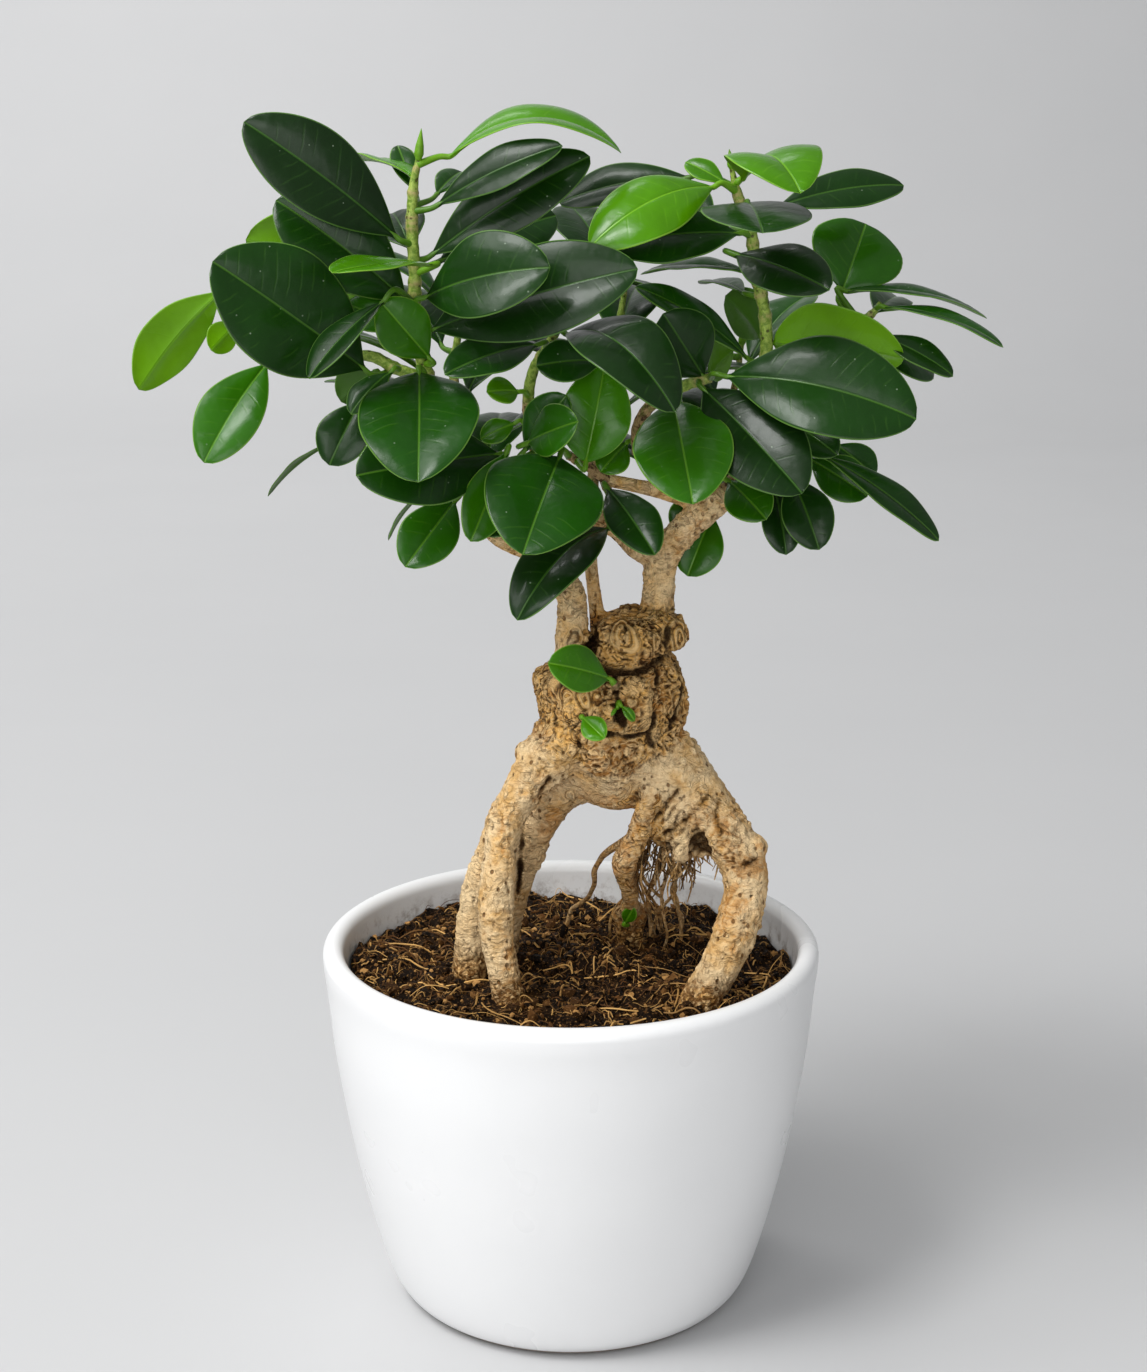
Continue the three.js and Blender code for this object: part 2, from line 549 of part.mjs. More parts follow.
const LOWER_RIGHT_SHOOT = {
  stems: [
    [[37, 1, 226.5, 1.6], [42, 6, 229, 1.5], [49, 5, 233.5, 1.3], [56, 3, 238.5, 1.2], [62, 1, 243, 0.9]],
    [[42, 6, 229, 1.1], [40, 9, 230, 1], [38, 11, 232, 0.8]],
  ],
  leaves: [
    { foot: [62, 2, 249], tip: [71, -6, 243], wide: 10, face: FRONT },
    { foot: [65, 5, 240], tip: [80, -1, 231], wide: 13, face: FRONT },
    { foot: [68, -2, 242], tip: [98, -12, 221], wide: 12, face: [0.3, -0.5, 0.8] },
    { foot: [72, 6, 244], tip: [83, 8, 235], wide: 10, face: FRONT },
    { foot: [59, -4, 237], tip: [66, -14, 219], wide: 14, face: FRONT },
    { foot: [55, 3, 233], tip: [58, -6, 216], wide: 11, face: FRONT },
    { foot: [39, 10, 224], tip: [32, 4, 208], wide: 14, face: FRONT },
    { foot: [35, 8, 229], tip: [28, 5, 221], wide: 9, face: FRONT },
  ],
};

// Back shoots: leaves in a spiral round each stem, with sizes and turns drawn from a seeded generator
const SPIRAL = (137.5 * Math.PI) / 180;
// Leaves that would point forward, into the crown, are left out
const INWARD_LIMIT = -0.25;

function spiralLeaves(points, { seed, count, start, step, turn }) {
  const random = seeded(seed);
  const path = limbPath(points);
  const leaves = [];
  for (let i = 0; i < count; i += 1) {
    const share = start + step * i;
    const root = path.getPoint(share);
    const azimuth = turn + i * SPIRAL + (random() - 0.5) * 0.5;
    const rise = 0.1 + 0.6 * share + (random() - 0.5) * 0.3;
    const length = 32 + 10 * random();
    const arch = 0.08 + 0.05 * random();
    const out = new THREE.Vector3(Math.cos(azimuth), Math.sin(azimuth), 0);
    if (out.y < INWARD_LIMIT) {
      continue;
    }
    const foot = root.clone().addScaledVector(out, 6).add(new THREE.Vector3(0, 0, 5));
    const tip = foot.clone().addScaledVector(out, length * Math.cos(rise));
    tip.z += 0.7 * length * Math.sin(rise);
    const face = [-0.3 * out.x, -0.3 * out.y, 1];
    leaves.push({ foot: foot.toArray(), tip: tip.toArray(), wide: 0.52 * length, face, arch });
  }
  return leaves;
}

const BACK_LEFT_STEM = [[-15.5, 1, 217.5, 1.9], [-18, 10, 222, 1.8], [-24, 20, 230, 1.7],
  [-30, 29, 243, 1.5], [-33, 35, 259, 1.3], [-31, 38, 274, 0.8]];
const BACK_MIDDLE_STEM = [[6, 6, 225, 1.8], [6, 13, 232, 1.7], [8, 19, 243, 1.6], [11, 23, 256, 1.4],
  [13, 25, 272, 1.2], [15, 27, 285, 0.8]];
const BACK_RIGHT_STEM = [[25, 4, 211, 1.9], [28, 13, 216, 1.8], [34, 22, 226, 1.6], [41, 29, 240, 1.4],
  [46, 34, 256, 1], [48, 36, 268, 0.7]];

const BACK_LEFT_SHOOT = {
  stems: [BACK_LEFT_STEM],
  leaves: spiralLeaves(BACK_LEFT_STEM, { seed: 5, count: 14, start: 0.3, step: 0.0538, turn: 3.17 }),
};
const BACK_MIDDLE_SHOOT = {
  stems: [BACK_MIDDLE_STEM],
  leaves: spiralLeaves(BACK_MIDDLE_STEM, { seed: 1, count: 8, start: 0.4, step: 0.075, turn: 4.16 }),
};
const BACK_RIGHT_SHOOT = {
  stems: [BACK_RIGHT_STEM],
  leaves: spiralLeaves(BACK_RIGHT_STEM, { seed: 1, count: 11, start: 0.35, step: 0.0591, turn: 0.52 }),
};

// Sprouts that break out of the bark
const BELLY_SPROUT = {
  stems: [[[12.5, -14, 182, 1], [12.2, -18, 182.5, 0.9], [11.6, -20.5, 184, 0.7]]],
  leaves: [{ foot: [10, -21, 185.5], tip: [-6, -30, 192], wide: 13, face: [0, -1, 0.6] }],
};
const LOW_SPROUT = {
  stems: [[[3.5, -13, 173, 1], [3.2, -17.5, 174, 0.9], [3, -19.5, 174.5, 0.7]]],
  leaves: [{ foot: [3.2, -20.5, 174.5], tip: [9, -27, 170.5], wide: 7, face: [0, -1, 0.4] }],
};

const GREEN = { color: "#2f4d26", roughness: 0.45, metalness: 0 };
const YOUNG_GREEN = { color: "#4c7a24", roughness: 0.4, metalness: 0 };
const BARK = { color: "#b59468", roughness: 0.85, metalness: 0 };
const GLAZE = { color: "#ececec", roughness: 0.18, metalness: 0 };
const PEAT = { color: "#3a281b", roughness: 0.95, metalness: 0 };

function named(name, geometry, look) {
  const mesh = new THREE.Mesh(geometry, new THREE.MeshStandardMaterial(look));
  mesh.name = name;
  return mesh;
}

const bark = barkClearance();
const bonsai = new THREE.Group();
bonsai.name = "ficus_bonsai";
bonsai.add(named("pot", geometryOf(solidOf(potGeometry())), GLAZE));
bonsai.add(named("soil", geometryOf(solidOf(soilGeometry()).subtract(bark)), PEAT));
bonsai.add(named("trunk", geometryOf(trunkSolid()), BARK));

const SHOOTS = {
  left_shoot: [LEFT_SHOOT, GREEN],
  middle_left_shoot: [MIDDLE_LEFT_SHOOT, GREEN],
  centre_shoot: [CENTRE_SHOOT, GREEN],
  middle_right_shoot: [MIDDLE_RIGHT_SHOOT, GREEN],
  right_shoot: [RIGHT_SHOOT, GREEN],
  lower_right_shoot: [LOWER_RIGHT_SHOOT, GREEN],
  back_left_shoot: [BACK_LEFT_SHOOT, GREEN],
  back_middle_shoot: [BACK_MIDDLE_SHOOT, GREEN],
  back_right_shoot: [BACK_RIGHT_SHOOT, GREEN],
  belly_sprout: [BELLY_SPROUT, YOUNG_GREEN],
  low_sprout: [LOW_SPROUT, YOUNG_GREEN],
};
for (const [name, [shoot, look]] of Object.entries(SHOOTS)) {
  bonsai.add(named(name, geometryOf(shootSolid(shoot).subtract(bark)), look));
}

export default bonsai;
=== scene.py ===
# Ficus bonsai in a white glazed pot. Lengths are in millimetres until a mesh is made, then metres.
# +Z is up and -Y is the front.

import math
from types import SimpleNamespace

import bpy
import numpy as np
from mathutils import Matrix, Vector


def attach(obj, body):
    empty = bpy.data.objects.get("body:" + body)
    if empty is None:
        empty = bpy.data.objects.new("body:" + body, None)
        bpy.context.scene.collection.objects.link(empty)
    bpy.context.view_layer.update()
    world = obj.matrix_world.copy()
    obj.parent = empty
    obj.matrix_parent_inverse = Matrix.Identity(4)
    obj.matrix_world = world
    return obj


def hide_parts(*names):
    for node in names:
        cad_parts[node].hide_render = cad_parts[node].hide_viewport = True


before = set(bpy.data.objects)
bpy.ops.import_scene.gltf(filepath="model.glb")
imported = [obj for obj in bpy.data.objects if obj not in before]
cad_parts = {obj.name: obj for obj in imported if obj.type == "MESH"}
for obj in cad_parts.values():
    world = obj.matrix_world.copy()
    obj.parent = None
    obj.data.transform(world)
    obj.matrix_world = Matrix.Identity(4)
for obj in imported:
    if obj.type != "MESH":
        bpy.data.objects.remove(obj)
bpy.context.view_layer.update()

MM = 0.001

# Camera: its place in millimetres, its pitch in degrees below level, and its lens
CAMERA_PLACE = (0.74, -642.2, 345.4)
CAMERA_PITCH = 14.61
CAMERA_LENS = 63.18
SENSOR = 36.0

# The factor, the addend and the number of states of the random draws
DRAW_FACTOR = 1664525
DRAW_ADDEND = 1013904223
DRAW_STATES = 2**32
# Large odd numbers that mix the parts of a place, and how many bits of the result are kept
MIX = (374761393, 668265263, 1440662683)
MIX_SALT = 1274126177
BITS_32 = 0xFFFFFFFF
BITS_24 = 0xFFFFFF


def seeded(seed):
    """A small seeded generator, the same one that the solids use."""
    state = seed

    def draw():
        nonlocal state
        state = (state * DRAW_FACTOR + DRAW_ADDEND) % DRAW_STATES
        return state / DRAW_STATES

    return draw


def between(draw, low, high):
    return low + (high - low) * draw()


# Noise on points in millimetres
def hashed(cells, salt):
    """A number from 0 to 1 for each whole-number cell."""
    mixed = sum(cells[..., axis] * MIX[axis] for axis in range(3))
    mixed = (mixed + salt * MIX_SALT) & BITS_32
    mixed = ((mixed ^ (mixed >> 13)) * MIX_SALT) & BITS_32
    return ((mixed ^ (mixed >> 16)) & BITS_24) / BITS_24


def noise(points, size, salt=0):
    """Smooth noise from -1 to 1, with bumps of about the given size."""
    places = np.asarray(points) / size
    cells = np.floor(places).astype(np.int64)
    share = places - cells
    share = share * share * (3 - 2 * share)
    total = np.zeros(len(places))
    for corner in np.ndindex(2, 2, 2):
        offset = np.array(corner)
        weight = np.prod(np.where(offset == 1, share, 1 - share), axis=1)
        total += weight * hashed(cells + offset, salt)
    return total * 2 - 1


def layered(points, size, salt=0, octaves=3):
    """Noise at halving sizes, added up."""
    total = np.zeros(len(points))
    for i in range(octaves):
        total += noise(points, size / 2**i, salt + i) / 2**i
    return total / (2 - 2 ** (1 - octaves))


def shaken(points, size, salt, far):
    """Small smooth moves of up to far mm."""
    return far * np.column_stack([noise(points, size, salt + axis) for axis in range(3)])


def cells_near(points, size, salt=0):
    """Distance to the nearest scattered spot, in shares of size, and a number from 0 to 1 for that spot."""
    places = np.asarray(points) / size
    cells = np.floor(places).astype(np.int64)
    nearest = np.full(len(places), 9.0)
    spot = np.zeros(len(places))
    for step in np.ndindex(3, 3, 3):
        near = cells + np.array(step) - 1
        centre = near + np.stack([hashed(near, salt + k) for k in range(1, 4)], axis=-1)
        far = np.linalg.norm(places - centre, axis=1)
        closer = far < nearest
        nearest = np.where(closer, far, nearest)
        spot = np.where(closer, hashed(near, salt + 4), spot)
    return nearest, spot


def smooth(low, high, value):
    """0 below low, 1 above high, and smooth between them."""
    share = np.clip((value - low) / (high - low), 0, 1)
    return share * share * (3 - 2 * share)


def unit(vectors):
    vectors = np.asarray(vectors, float)
    return vectors / np.maximum(np.linalg.norm(vectors, axis=-1, keepdims=True), 1e-9)


# Smooth paths through given points
def path_at(points, shares):
    """Places and directions on the smooth path, at shares of its spans."""
    marks = np.asarray(points, float)[:, :3]
    ends = np.vstack([2 * marks[0] - marks[1], marks, 2 * marks[-1] - marks[-2]])
    place = np.asarray(shares, float) * (len(marks) - 1)
    span = np.minimum(place.astype(int), len(marks) - 2)
    t = (place - span)[:, None]
    before, start, end, after = (ends[span + k] for k in range(4))
    lead = (end - before) / 2
    trail = (after - start) / 2
    square = -3 * start + 3 * end - 2 * lead - trail
    cube = 2 * start - 2 * end + lead + trail
    places = start + lead * t + square * t**2 + cube * t**3
    along = lead + 2 * square * t + 3 * cube * t**2
    return places, unit(along)


def radius_at(points, shares):
    radii = np.asarray([p[3] for p in points], float)
    return np.interp(np.asarray(shares) * (len(points) - 1), np.arange(len(points)), radii)


def framed(along, first=(0.0, 1.0, 0.0)):
    """For each direction on a path, one vector across it that turns as little as it can."""
    across = np.array(first, float)
    found = []
    for direction in along:
        across = across - direction * across.dot(direction)
        across = across / max(np.linalg.norm(across), 1e-9)
        found.append(across)
    return np.array(found)


def linked(name, data):
    """A new object in the scene."""
    made = bpy.data.objects.new(name, data)
    bpy.context.scene.collection.objects.link(made)
    return made


class Mesh:
    """Collects points, faces, a material number for each face, and named values for each point."""

    def __init__(self, *names):
        self.points = []
        self.faces = []
        self.slots = []
        self.values = {name: [] for name in names}
        self.count = 0

    def add(self, points, faces, slot=0, **values):
        points = np.asarray(points, float)
        self.points.append(points)
        self.faces.extend((np.asarray(face) + self.count).tolist() for face in faces)
        self.slots.extend([slot] * len(faces))
        for name, kept in self.values.items():
            value = np.asarray(values.get(name, (0.0, 0.0, 0.0)), float)
            kept.append(np.broadcast_to(value, (len(points), 3)))
        self.count += len(points)

    def piece(self, name, materials, smooth_faces=True):
        mesh = bpy.data.meshes.new(name)
        mesh.from_pydata((np.vstack(self.points) * MM).tolist(), [], self.faces)
        for material in materials:
            mesh.materials.append(material)
        mesh.polygons.foreach_set("material_index", self.slots)
        mesh.polygons.foreach_set("use_smooth", [smooth_faces] * len(self.faces))
        for label, kept in self.values.items():
            stored = mesh.attributes.new(label, "FLOAT_VECTOR", "POINT")
            stored.data.foreach_set("vector", np.vstack(kept).ravel())
        mesh.validate()
        mesh.update()
        return linked(name, mesh)


def ring_faces(rings, sides):
    """Faces of a closed body of rings, with a point before the first ring and one after the last."""
    faces = []
    end = 1 + rings * sides
    for k in range(sides):
        following = (k + 1) % sides
        faces.append([0, 1 + following, 1 + k])
        faces.append([end, end - sides + k, end - sides + following])
        for i in range(rings - 1):
            here = 1 + i * sides
            ahead = here + sides
            faces.append([here + k, here + following, ahead + following, ahead + k])
    return faces


def around(sides):
    return 2 * math.pi * np.arange(sides) / sides


def level_rings(wide, deep, heights, sides, middle=(0.0, 0.0)):
    """Level rings of points, an array (rings, sides, 3), from columns of half widths, depths and heights."""
    x = middle[0] + wide * np.cos(around(sides))
    y = middle[1] + deep * np.sin(around(sides))
    return np.stack(np.broadcast_arrays(x, y, heights), axis=-1)


def ringed(rings):
    """Points and faces of a closed body from rings of points, an array (rings, sides, 3)."""
    first = rings[0].mean(axis=0)
    last = rings[-1].mean(axis=0)
    points = np.vstack([first, rings.reshape(-1, 3), last])
    return points, ring_faces(rings.shape[0], rings.shape[1])


def tube(points, sides, step, radius_of=None, ends=(0.35, 0.35)):
    """A round limb. Returns its points, its faces, and how far along in mm each point is."""
    steps = max(2, round(path_length(points) / step))
    shares = np.linspace(0, 1, steps + 1)
    centres, along = path_at(points, shares)
    across = framed(along)
    other = np.cross(along, across)
    walked = np.concatenate([[0], np.cumsum(np.linalg.norm(np.diff(centres, axis=0), axis=1))])
    radii = radius_at(points, shares)
    if radius_of is not None:
        radii = radius_of(walked, radii)
    angles = around(sides)[:, None]
    circle = across[:, None] * np.cos(angles) + other[:, None] * np.sin(angles)
    rings = centres[:, None] + radii[:, None, None] * circle
    made, faces = ringed(rings)
    made[0] -= along[0] * radii[0] * ends[0]
    made[-1] += along[-1] * radii[-1] * ends[1]
    lengths = np.concatenate([[0], np.repeat(walked, sides), [walked[-1]]])
    return made, faces, lengths


def path_length(points):
    places = path_at(points, np.linspace(0, 1, 40))[0]
    return np.linalg.norm(np.diff(places, axis=0), axis=1).sum()


# Materials, built of nodes
class Value:
    """A number or colour that a node gives. Arithmetic on it adds the nodes that work out the result."""

    def __init__(self, look, socket):
        self.look = look
        self.socket = socket

    def math(self, operation, *others):
        return self.look.math(operation, self, *others)

    def __add__(self, other):
        return self.math("ADD", other)

    def __sub__(self, other):
        return self.math("SUBTRACT", other)

    def __rsub__(self, other):
        return self.look.math("SUBTRACT", other, self)

    def __mul__(self, other):
        return self.math("MULTIPLY", other)

    def __truediv__(self, other):
        return self.math("DIVIDE", other)

    __radd__ = __add__
    __rmul__ = __mul__

    def ease(self, low, high):
        """0 at low, 1 at high, and smooth between. Low may be the larger one."""
        return self.look.node("ShaderNodeMapRange", {
            "Value": self, "From Min": min(low, high), "From Max": max(low, high),
            "To Min": float(low > high), "To Max": float(low < high),
        }, "Result", interpolation_type="SMOOTHSTEP")


class Look:
    """A material with one main shader. Its colour and relief are laid down in layers, the last on top."""

    def __init__(self, name, **constants):
        self.material = bpy.data.materials.new(name)
        self.material.use_nodes = True
        self.tree = self.material.node_tree
        self.shader = self.tree.nodes["Principled BSDF"]
        self.colour = None
        self.relief = None
        for socket, value in constants.items():
            self.shader.inputs[socket.replace("_", " ")].default_value = value

    def put(self, socket, value):
        if isinstance(value, Value):
            self.tree.links.new(value.socket, socket)
        elif hasattr(socket.default_value, "__len__") and len(socket.default_value) == 4:
            socket.default_value = (*value, 1)
        else:
            socket.default_value = value

    def node(self, kind, inputs, output=0, **settings):
        """What a new node gives, with its inputs set by name or number."""
        made = self.tree.nodes.new(kind)
        for name, value in settings.items():
            setattr(made, name, value)
        for name, value in inputs.items():
            self.put(made.inputs[name], value)
        return Value(self, made.outputs[output])

    def math(self, operation, *values):
        return self.node("ShaderNodeMath", dict(enumerate(values)), operation=operation)

    def mix(self, share, first, second):
        return self.node("ShaderNodeMix", {0: share, 6: first, 7: second}, 2, data_type="RGBA")

    def paint(self, share, colour):
        """Lays a colour over the ones below it, by a share from 0 to 1."""
        self.colour = self.mix(share, self.colour, colour)

    def shade(self, amount):
        """Makes the colour darker or lighter."""
        self.colour = self.node("ShaderNodeVectorMath", {0: self.colour, "Scale": amount}, operation="SCALE")

    def raised(self, shape, height):
        """Adds a shape to the relief, sunk where its height is below 0."""
        self.relief = self.relief + height * shape

    def ramp(self, value, stops):
        made = self.node("ShaderNodeValToRGB", {0: value})
        band = made.socket.node.color_ramp
        while len(band.elements) < len(stops):
            band.elements.new(0.5)
        for element, (place, colour) in zip(band.elements, stops):
            element.position = place
            element.color = (*colour, 1)
        return made

    def parts(self, vector):
        """The three numbers of a place or a colour."""
        split = self.node("ShaderNodeSeparateXYZ", {0: vector}).socket.node
        return [Value(self, socket) for socket in split.outputs]

    def named(self, name):
        """The three numbers that the mesh keeps under this name."""
        return self.parts(self.node("ShaderNodeAttribute", {}, "Vector", attribute_name=name))

    def place(self):
        return self.node("ShaderNodeTexCoord", {}, "Object")

    def stretched(self, x, y, z):
        """The place with each axis scaled, so that patterns get shorter along an axis above 1."""
        return self.node("ShaderNodeVectorMath", {0: self.place(), 1: (x, y, z)}, operation="MULTIPLY")

    def noise(self, size, place=None, detail=2.0, rough=0.5, curl=0.0):
        """Noise from 0 to 1 with bumps of about size mm, which curl round each other if curl is above 0."""
        return self.node("ShaderNodeTexNoise", {
            "Vector": place or self.place(), "Scale": 1 / (size * MM), "Detail": detail,
            "Roughness": rough, "Distortion": curl,
        }, "Fac")

    def spots(self, size, place=None):
        """Distance to scattered spots about size mm apart, in shares of size, and a number for each spot."""
        inputs = {"Vector": place or self.place(), "Scale": 1 / (size * MM)}
        near = self.node("ShaderNodeTexVoronoi", inputs, "Distance")
        return near, self.parts(Value(self, near.socket.node.outputs["Color"]))[0]

    def bump(self, height, deep, strength=1.0, below=None):
        """Surface relief of about deep mm, over the relief below it."""
        inputs = {"Strength": strength, "Distance": deep * MM, "Height": height}
        if below is not None:
            inputs["Normal"] = below
        return self.node("ShaderNodeBump", inputs)

    def finish(self, rough, normal=None):
        self.put(self.shader.inputs["Base Color"], self.colour)
        self.put(self.shader.inputs["Roughness"], rough)
        if normal is not None:
            self.put(self.shader.inputs["Normal"], normal)
        return self.material


def once(make):
    """A material is made the first time that a piece asks for it."""
    kept = []

    def get():
        if not kept:
            kept.append(make())
        return kept[0]

    return get


COAT = {"Coat_Weight": 0.15, "Coat_Roughness": 0.12}


@once
def leaf_material():
    look = Look("leaf", IOR=1.45, Specular_IOR_Level=0.25, **COAT, Coat_IOR=1.45)
    walked, across, margin = look.named("blade")
    young, tone, under = look.named("look")
    side = across.math("ABSOLUTE")
    # Green from old to young, on the upper face and on the back. The back is paler, partly its own colour
    # and partly painted light for light shining through the blade.
    top = look.ramp(young, [
        (0.0, (0.0036, 0.0215, 0.0010)),
        (0.3, (0.0072, 0.0520, 0.0007)),
        (0.6, (0.0250, 0.1250, 0.0005)),
        (1.0, (0.0620, 0.2150, 0.0004)),
    ])
    back = look.ramp(young, [
        (0.0, (0.0220, 0.0680, 0.0090)),
        (0.4, (0.0950, 0.2500, 0.0020)),
        (1.0, (0.1300, 0.3300, 0.0010)),
    ])
    look.colour = look.mix(under, top, back)
    look.shade(0.8 * look.noise(13, detail=3.0) + 0.4 * tone + 0.45)

    # Side veins, rib and pale margin
    turns = (walked + 1.8 * look.noise(8) - VEIN_SLANT * side) / VEIN_SPACING
    vein = turns.math("PINGPONG", 0.5).ease(0.12, 0.01) * side.ease(0.3, 1.2) * margin.ease(0.8, 3.0)
    vein = vein * look.noise(8, detail=1.0).ease(0.42, 0.62)
    rib = side.ease(0.42, 0.12)
    edge = margin.ease(0.42, 0.14) * walked.ease(1.0, 3.5)
    pale = look.mix(young, (0.042, 0.120, 0.014), (0.170, 0.420, 0.016))
    rim = look.mix(young, (0.100, 0.215, 0.040), (0.240, 0.480, 0.040))
    look.paint(0.14 * vein, pale)
    look.paint(0.62 * rib, pale)
    look.paint(0.75 * edge, rim)

    # Pale specks and dust on old leaves
    near, draw = look.spots(2.6)
    speck = near.ease(0.11, 0.06) * draw.ease(0.66, 0.70) * (1 - under.math("MAXIMUM", young))
    look.paint(0.55 * speck, (0.30, 0.38, 0.27))
    dust = look.noise(2.2, detail=4.0, rough=0.7).ease(0.55, 0.85) * (1 - young)
    look.paint(0.05 * dust, (0.12, 0.17, 0.11))

    rough = 0.30 - 0.12 * young + 0.12 * look.noise(9, detail=3.0) + 0.14 * under
    skin = look.bump(look.noise(1.1, detail=3.0), 0.08, 0.3)
    wavy = look.bump(look.noise(7), 0.9, 0.5, skin)
    return look.finish(rough, look.bump(-0.7 * rib - 0.22 * vein, 0.22, 0.7, wavy))


@once
def stalk_material():
    look = Look("stalk", IOR=1.45, Specular_IOR_Level=0.35)
    young = look.named("look")[0]
    look.colour = look.mix(young, (0.075, 0.190, 0.010), (0.150, 0.360, 0.010))
    look.shade(0.8 * look.noise(2.2, detail=3.0) + 0.5)
    return look.finish(0.2 * look.noise(3) + 0.3, look.bump(look.noise(0.5), 0.06, 0.4))


@once
def stem_material():
    look = Look("stem", IOR=1.45, Specular_IOR_Level=0.3)
    age, _, node = look.named("look")
    mottle = look.noise(1.5, detail=4.0, rough=0.7, curl=0.5)
    green = look.mix(mottle.ease(0.35, 0.65), (0.120, 0.210, 0.018), (0.330, 0.440, 0.080))
    wood = look.mix(mottle.ease(0.38, 0.60), (0.070, 0.034, 0.012), (0.420, 0.275, 0.130))
    moss = look.noise(2.6, detail=3.0).ease(0.52, 0.66)
    wood = look.mix(0.5 * moss, wood, (0.085, 0.120, 0.012))
    aged = age + 0.5 * look.noise(6) - 0.25
    look.colour = look.mix(aged.ease(0.35, 0.8), green, wood)
    # Pale scars at the nodes, and small dark dots
    look.paint(0.75 * node * mottle.ease(0.36, 0.56), (0.400, 0.285, 0.140))
    near, draw = look.spots(1.5)
    dot = near.ease(0.34, 0.2) * draw.ease(0.55, 0.62)
    look.paint(0.75 * dot, (0.040, 0.022, 0.010))
    return look.finish(0.3 * age + 0.45, look.bump(mottle - 0.6 * dot, 0.3, 0.9))


# Bark colours: the two ends of the pale legs, of the brown hide and of the cream marks, and single tones
LEG = [(0.700, 0.515, 0.290), (0.600, 0.360, 0.135)]
HIDE = [(0.340, 0.145, 0.030), (0.800, 0.450, 0.130)]
CREAM = [(0.930, 0.700, 0.400), (0.860, 0.560, 0.245)]
KNOT_PALE = (0.850, 0.560, 0.250)
RUST = (0.480, 0.215, 0.050)
STREAK_BROWN = (0.250, 0.100, 0.024)
FLECK_BROWN = (0.150, 0.060, 0.013)
UMBER = (0.055, 0.022, 0.005)
# HOLLOW_BLACK: the black of grooves and pits, also used as painted shade in hollows, under the hip, along
# the front leg's edge and on the rootlets behind the central root
HOLLOW_BLACK = (0.036, 0.016, 0.005)
CRACK_BLACK = (0.030, 0.013, 0.004)
MUD = (0.170, 0.075, 0.020)


def paint_ground(look, brown, rust_and_under_shade, fine, blotch):
    """Pale wood where brown is low and hide where it is high, with rust over both, partly painted shade on
    the legs' undersides.
    """
    broad = look.noise(9, detail=3.0)
    leg = look.mix(broad.ease(0.38, 0.65), *LEG)
    hide = look.mix(broad.ease(0.35, 0.62), *HIDE)
    share = 1.7 * (blotch - 0.5) + brown
    look.colour = look.mix(share.ease(0.2, 0.8), leg, hide)
    rust = 2.6 * look.noise(2.6, detail=3.0, curl=0.6) - 1.3 + rust_and_under_shade
    look.paint(0.7 * rust.ease(0.25, 0.95), RUST)
    # Painted shade and highlight: darker where the fine relief sinks, lighter where it rises
    look.shade(0.65 * fine + 0.80)


def paint_streaks(look, brown, cream):
    # Dark strokes where the streak relief is low and cream where it is high: partly bark strokes, partly
    # painted shade and painted highlight on that relief
    streak = look.noise(2.3, look.stretched(0.7, 0.7, 1.7), detail=3.0, rough=0.65, curl=0.9)
    coarse = 0.55 * brown + 0.45
    look.paint(0.7 * coarse * streak.ease(0.46, 0.38), STREAK_BROWN)
    look.paint(0.62 * coarse * streak.ease(0.54, 0.62), cream)
    look.raised(coarse * streak, 1.6)


def paint_curls(look, brown, cream, ringed_by):
    """Curly growth lines, drawn as the contour lines of a slow noise."""
    slow = look.noise(7.0, look.stretched(1, 1, 1.2), detail=1.2, curl=1.6)
    turned = (4.6 * slow).math("PINGPONG", 0.5)
    far = ringed_by.ease(0.85, 1.25)
    ridge = turned.ease(0.28, 0.38) * far * look.noise(3.6, detail=1.0).ease(0.40, 0.56)
    furrow = turned.ease(0.17, 0.08) * far * look.noise(4.2, detail=1.0).ease(0.42, 0.54)
    marked = 0.72 * brown + 0.10
    etched = 0.84 * brown + 0.14
    look.paint(ridge * marked, cream)
    look.paint(furrow * etched, UMBER)
    look.raised(ridge * (marked + 0.2), 0.8)
    look.raised(furrow * (etched + 0.2), -1.1)


def paint_rings(look, inside, turns, crest, crest_colour, trough):
    """Rings as a cosine's waves. Crest and trough each hold a share and where on the wave it eases in."""
    wave = turns.math("COSINE")
    for (share, *limits), colour in ((crest, crest_colour), (trough, UMBER)):
        look.paint(share * inside * wave.ease(*limits), colour)
    look.raised(inside * wave, 0.6)


def paint_chips(look, brown, cream):
    """Short pale chips and dark flecks."""
    near, draw = look.spots(2.2, look.stretched(1, 1, 0.7))
    chip = near.ease(0.40, 0.28) * draw.ease(0.66, 0.70)
    fleck = near.ease(0.28, 0.16) * draw.ease(0.34, 0.30)
    look.paint(chip * (0.6 * brown + 0.25), cream)
    look.paint(0.85 * fleck, FLECK_BROWN)
    look.raised(chip, 0.5)
    look.raised(fleck, -0.7)


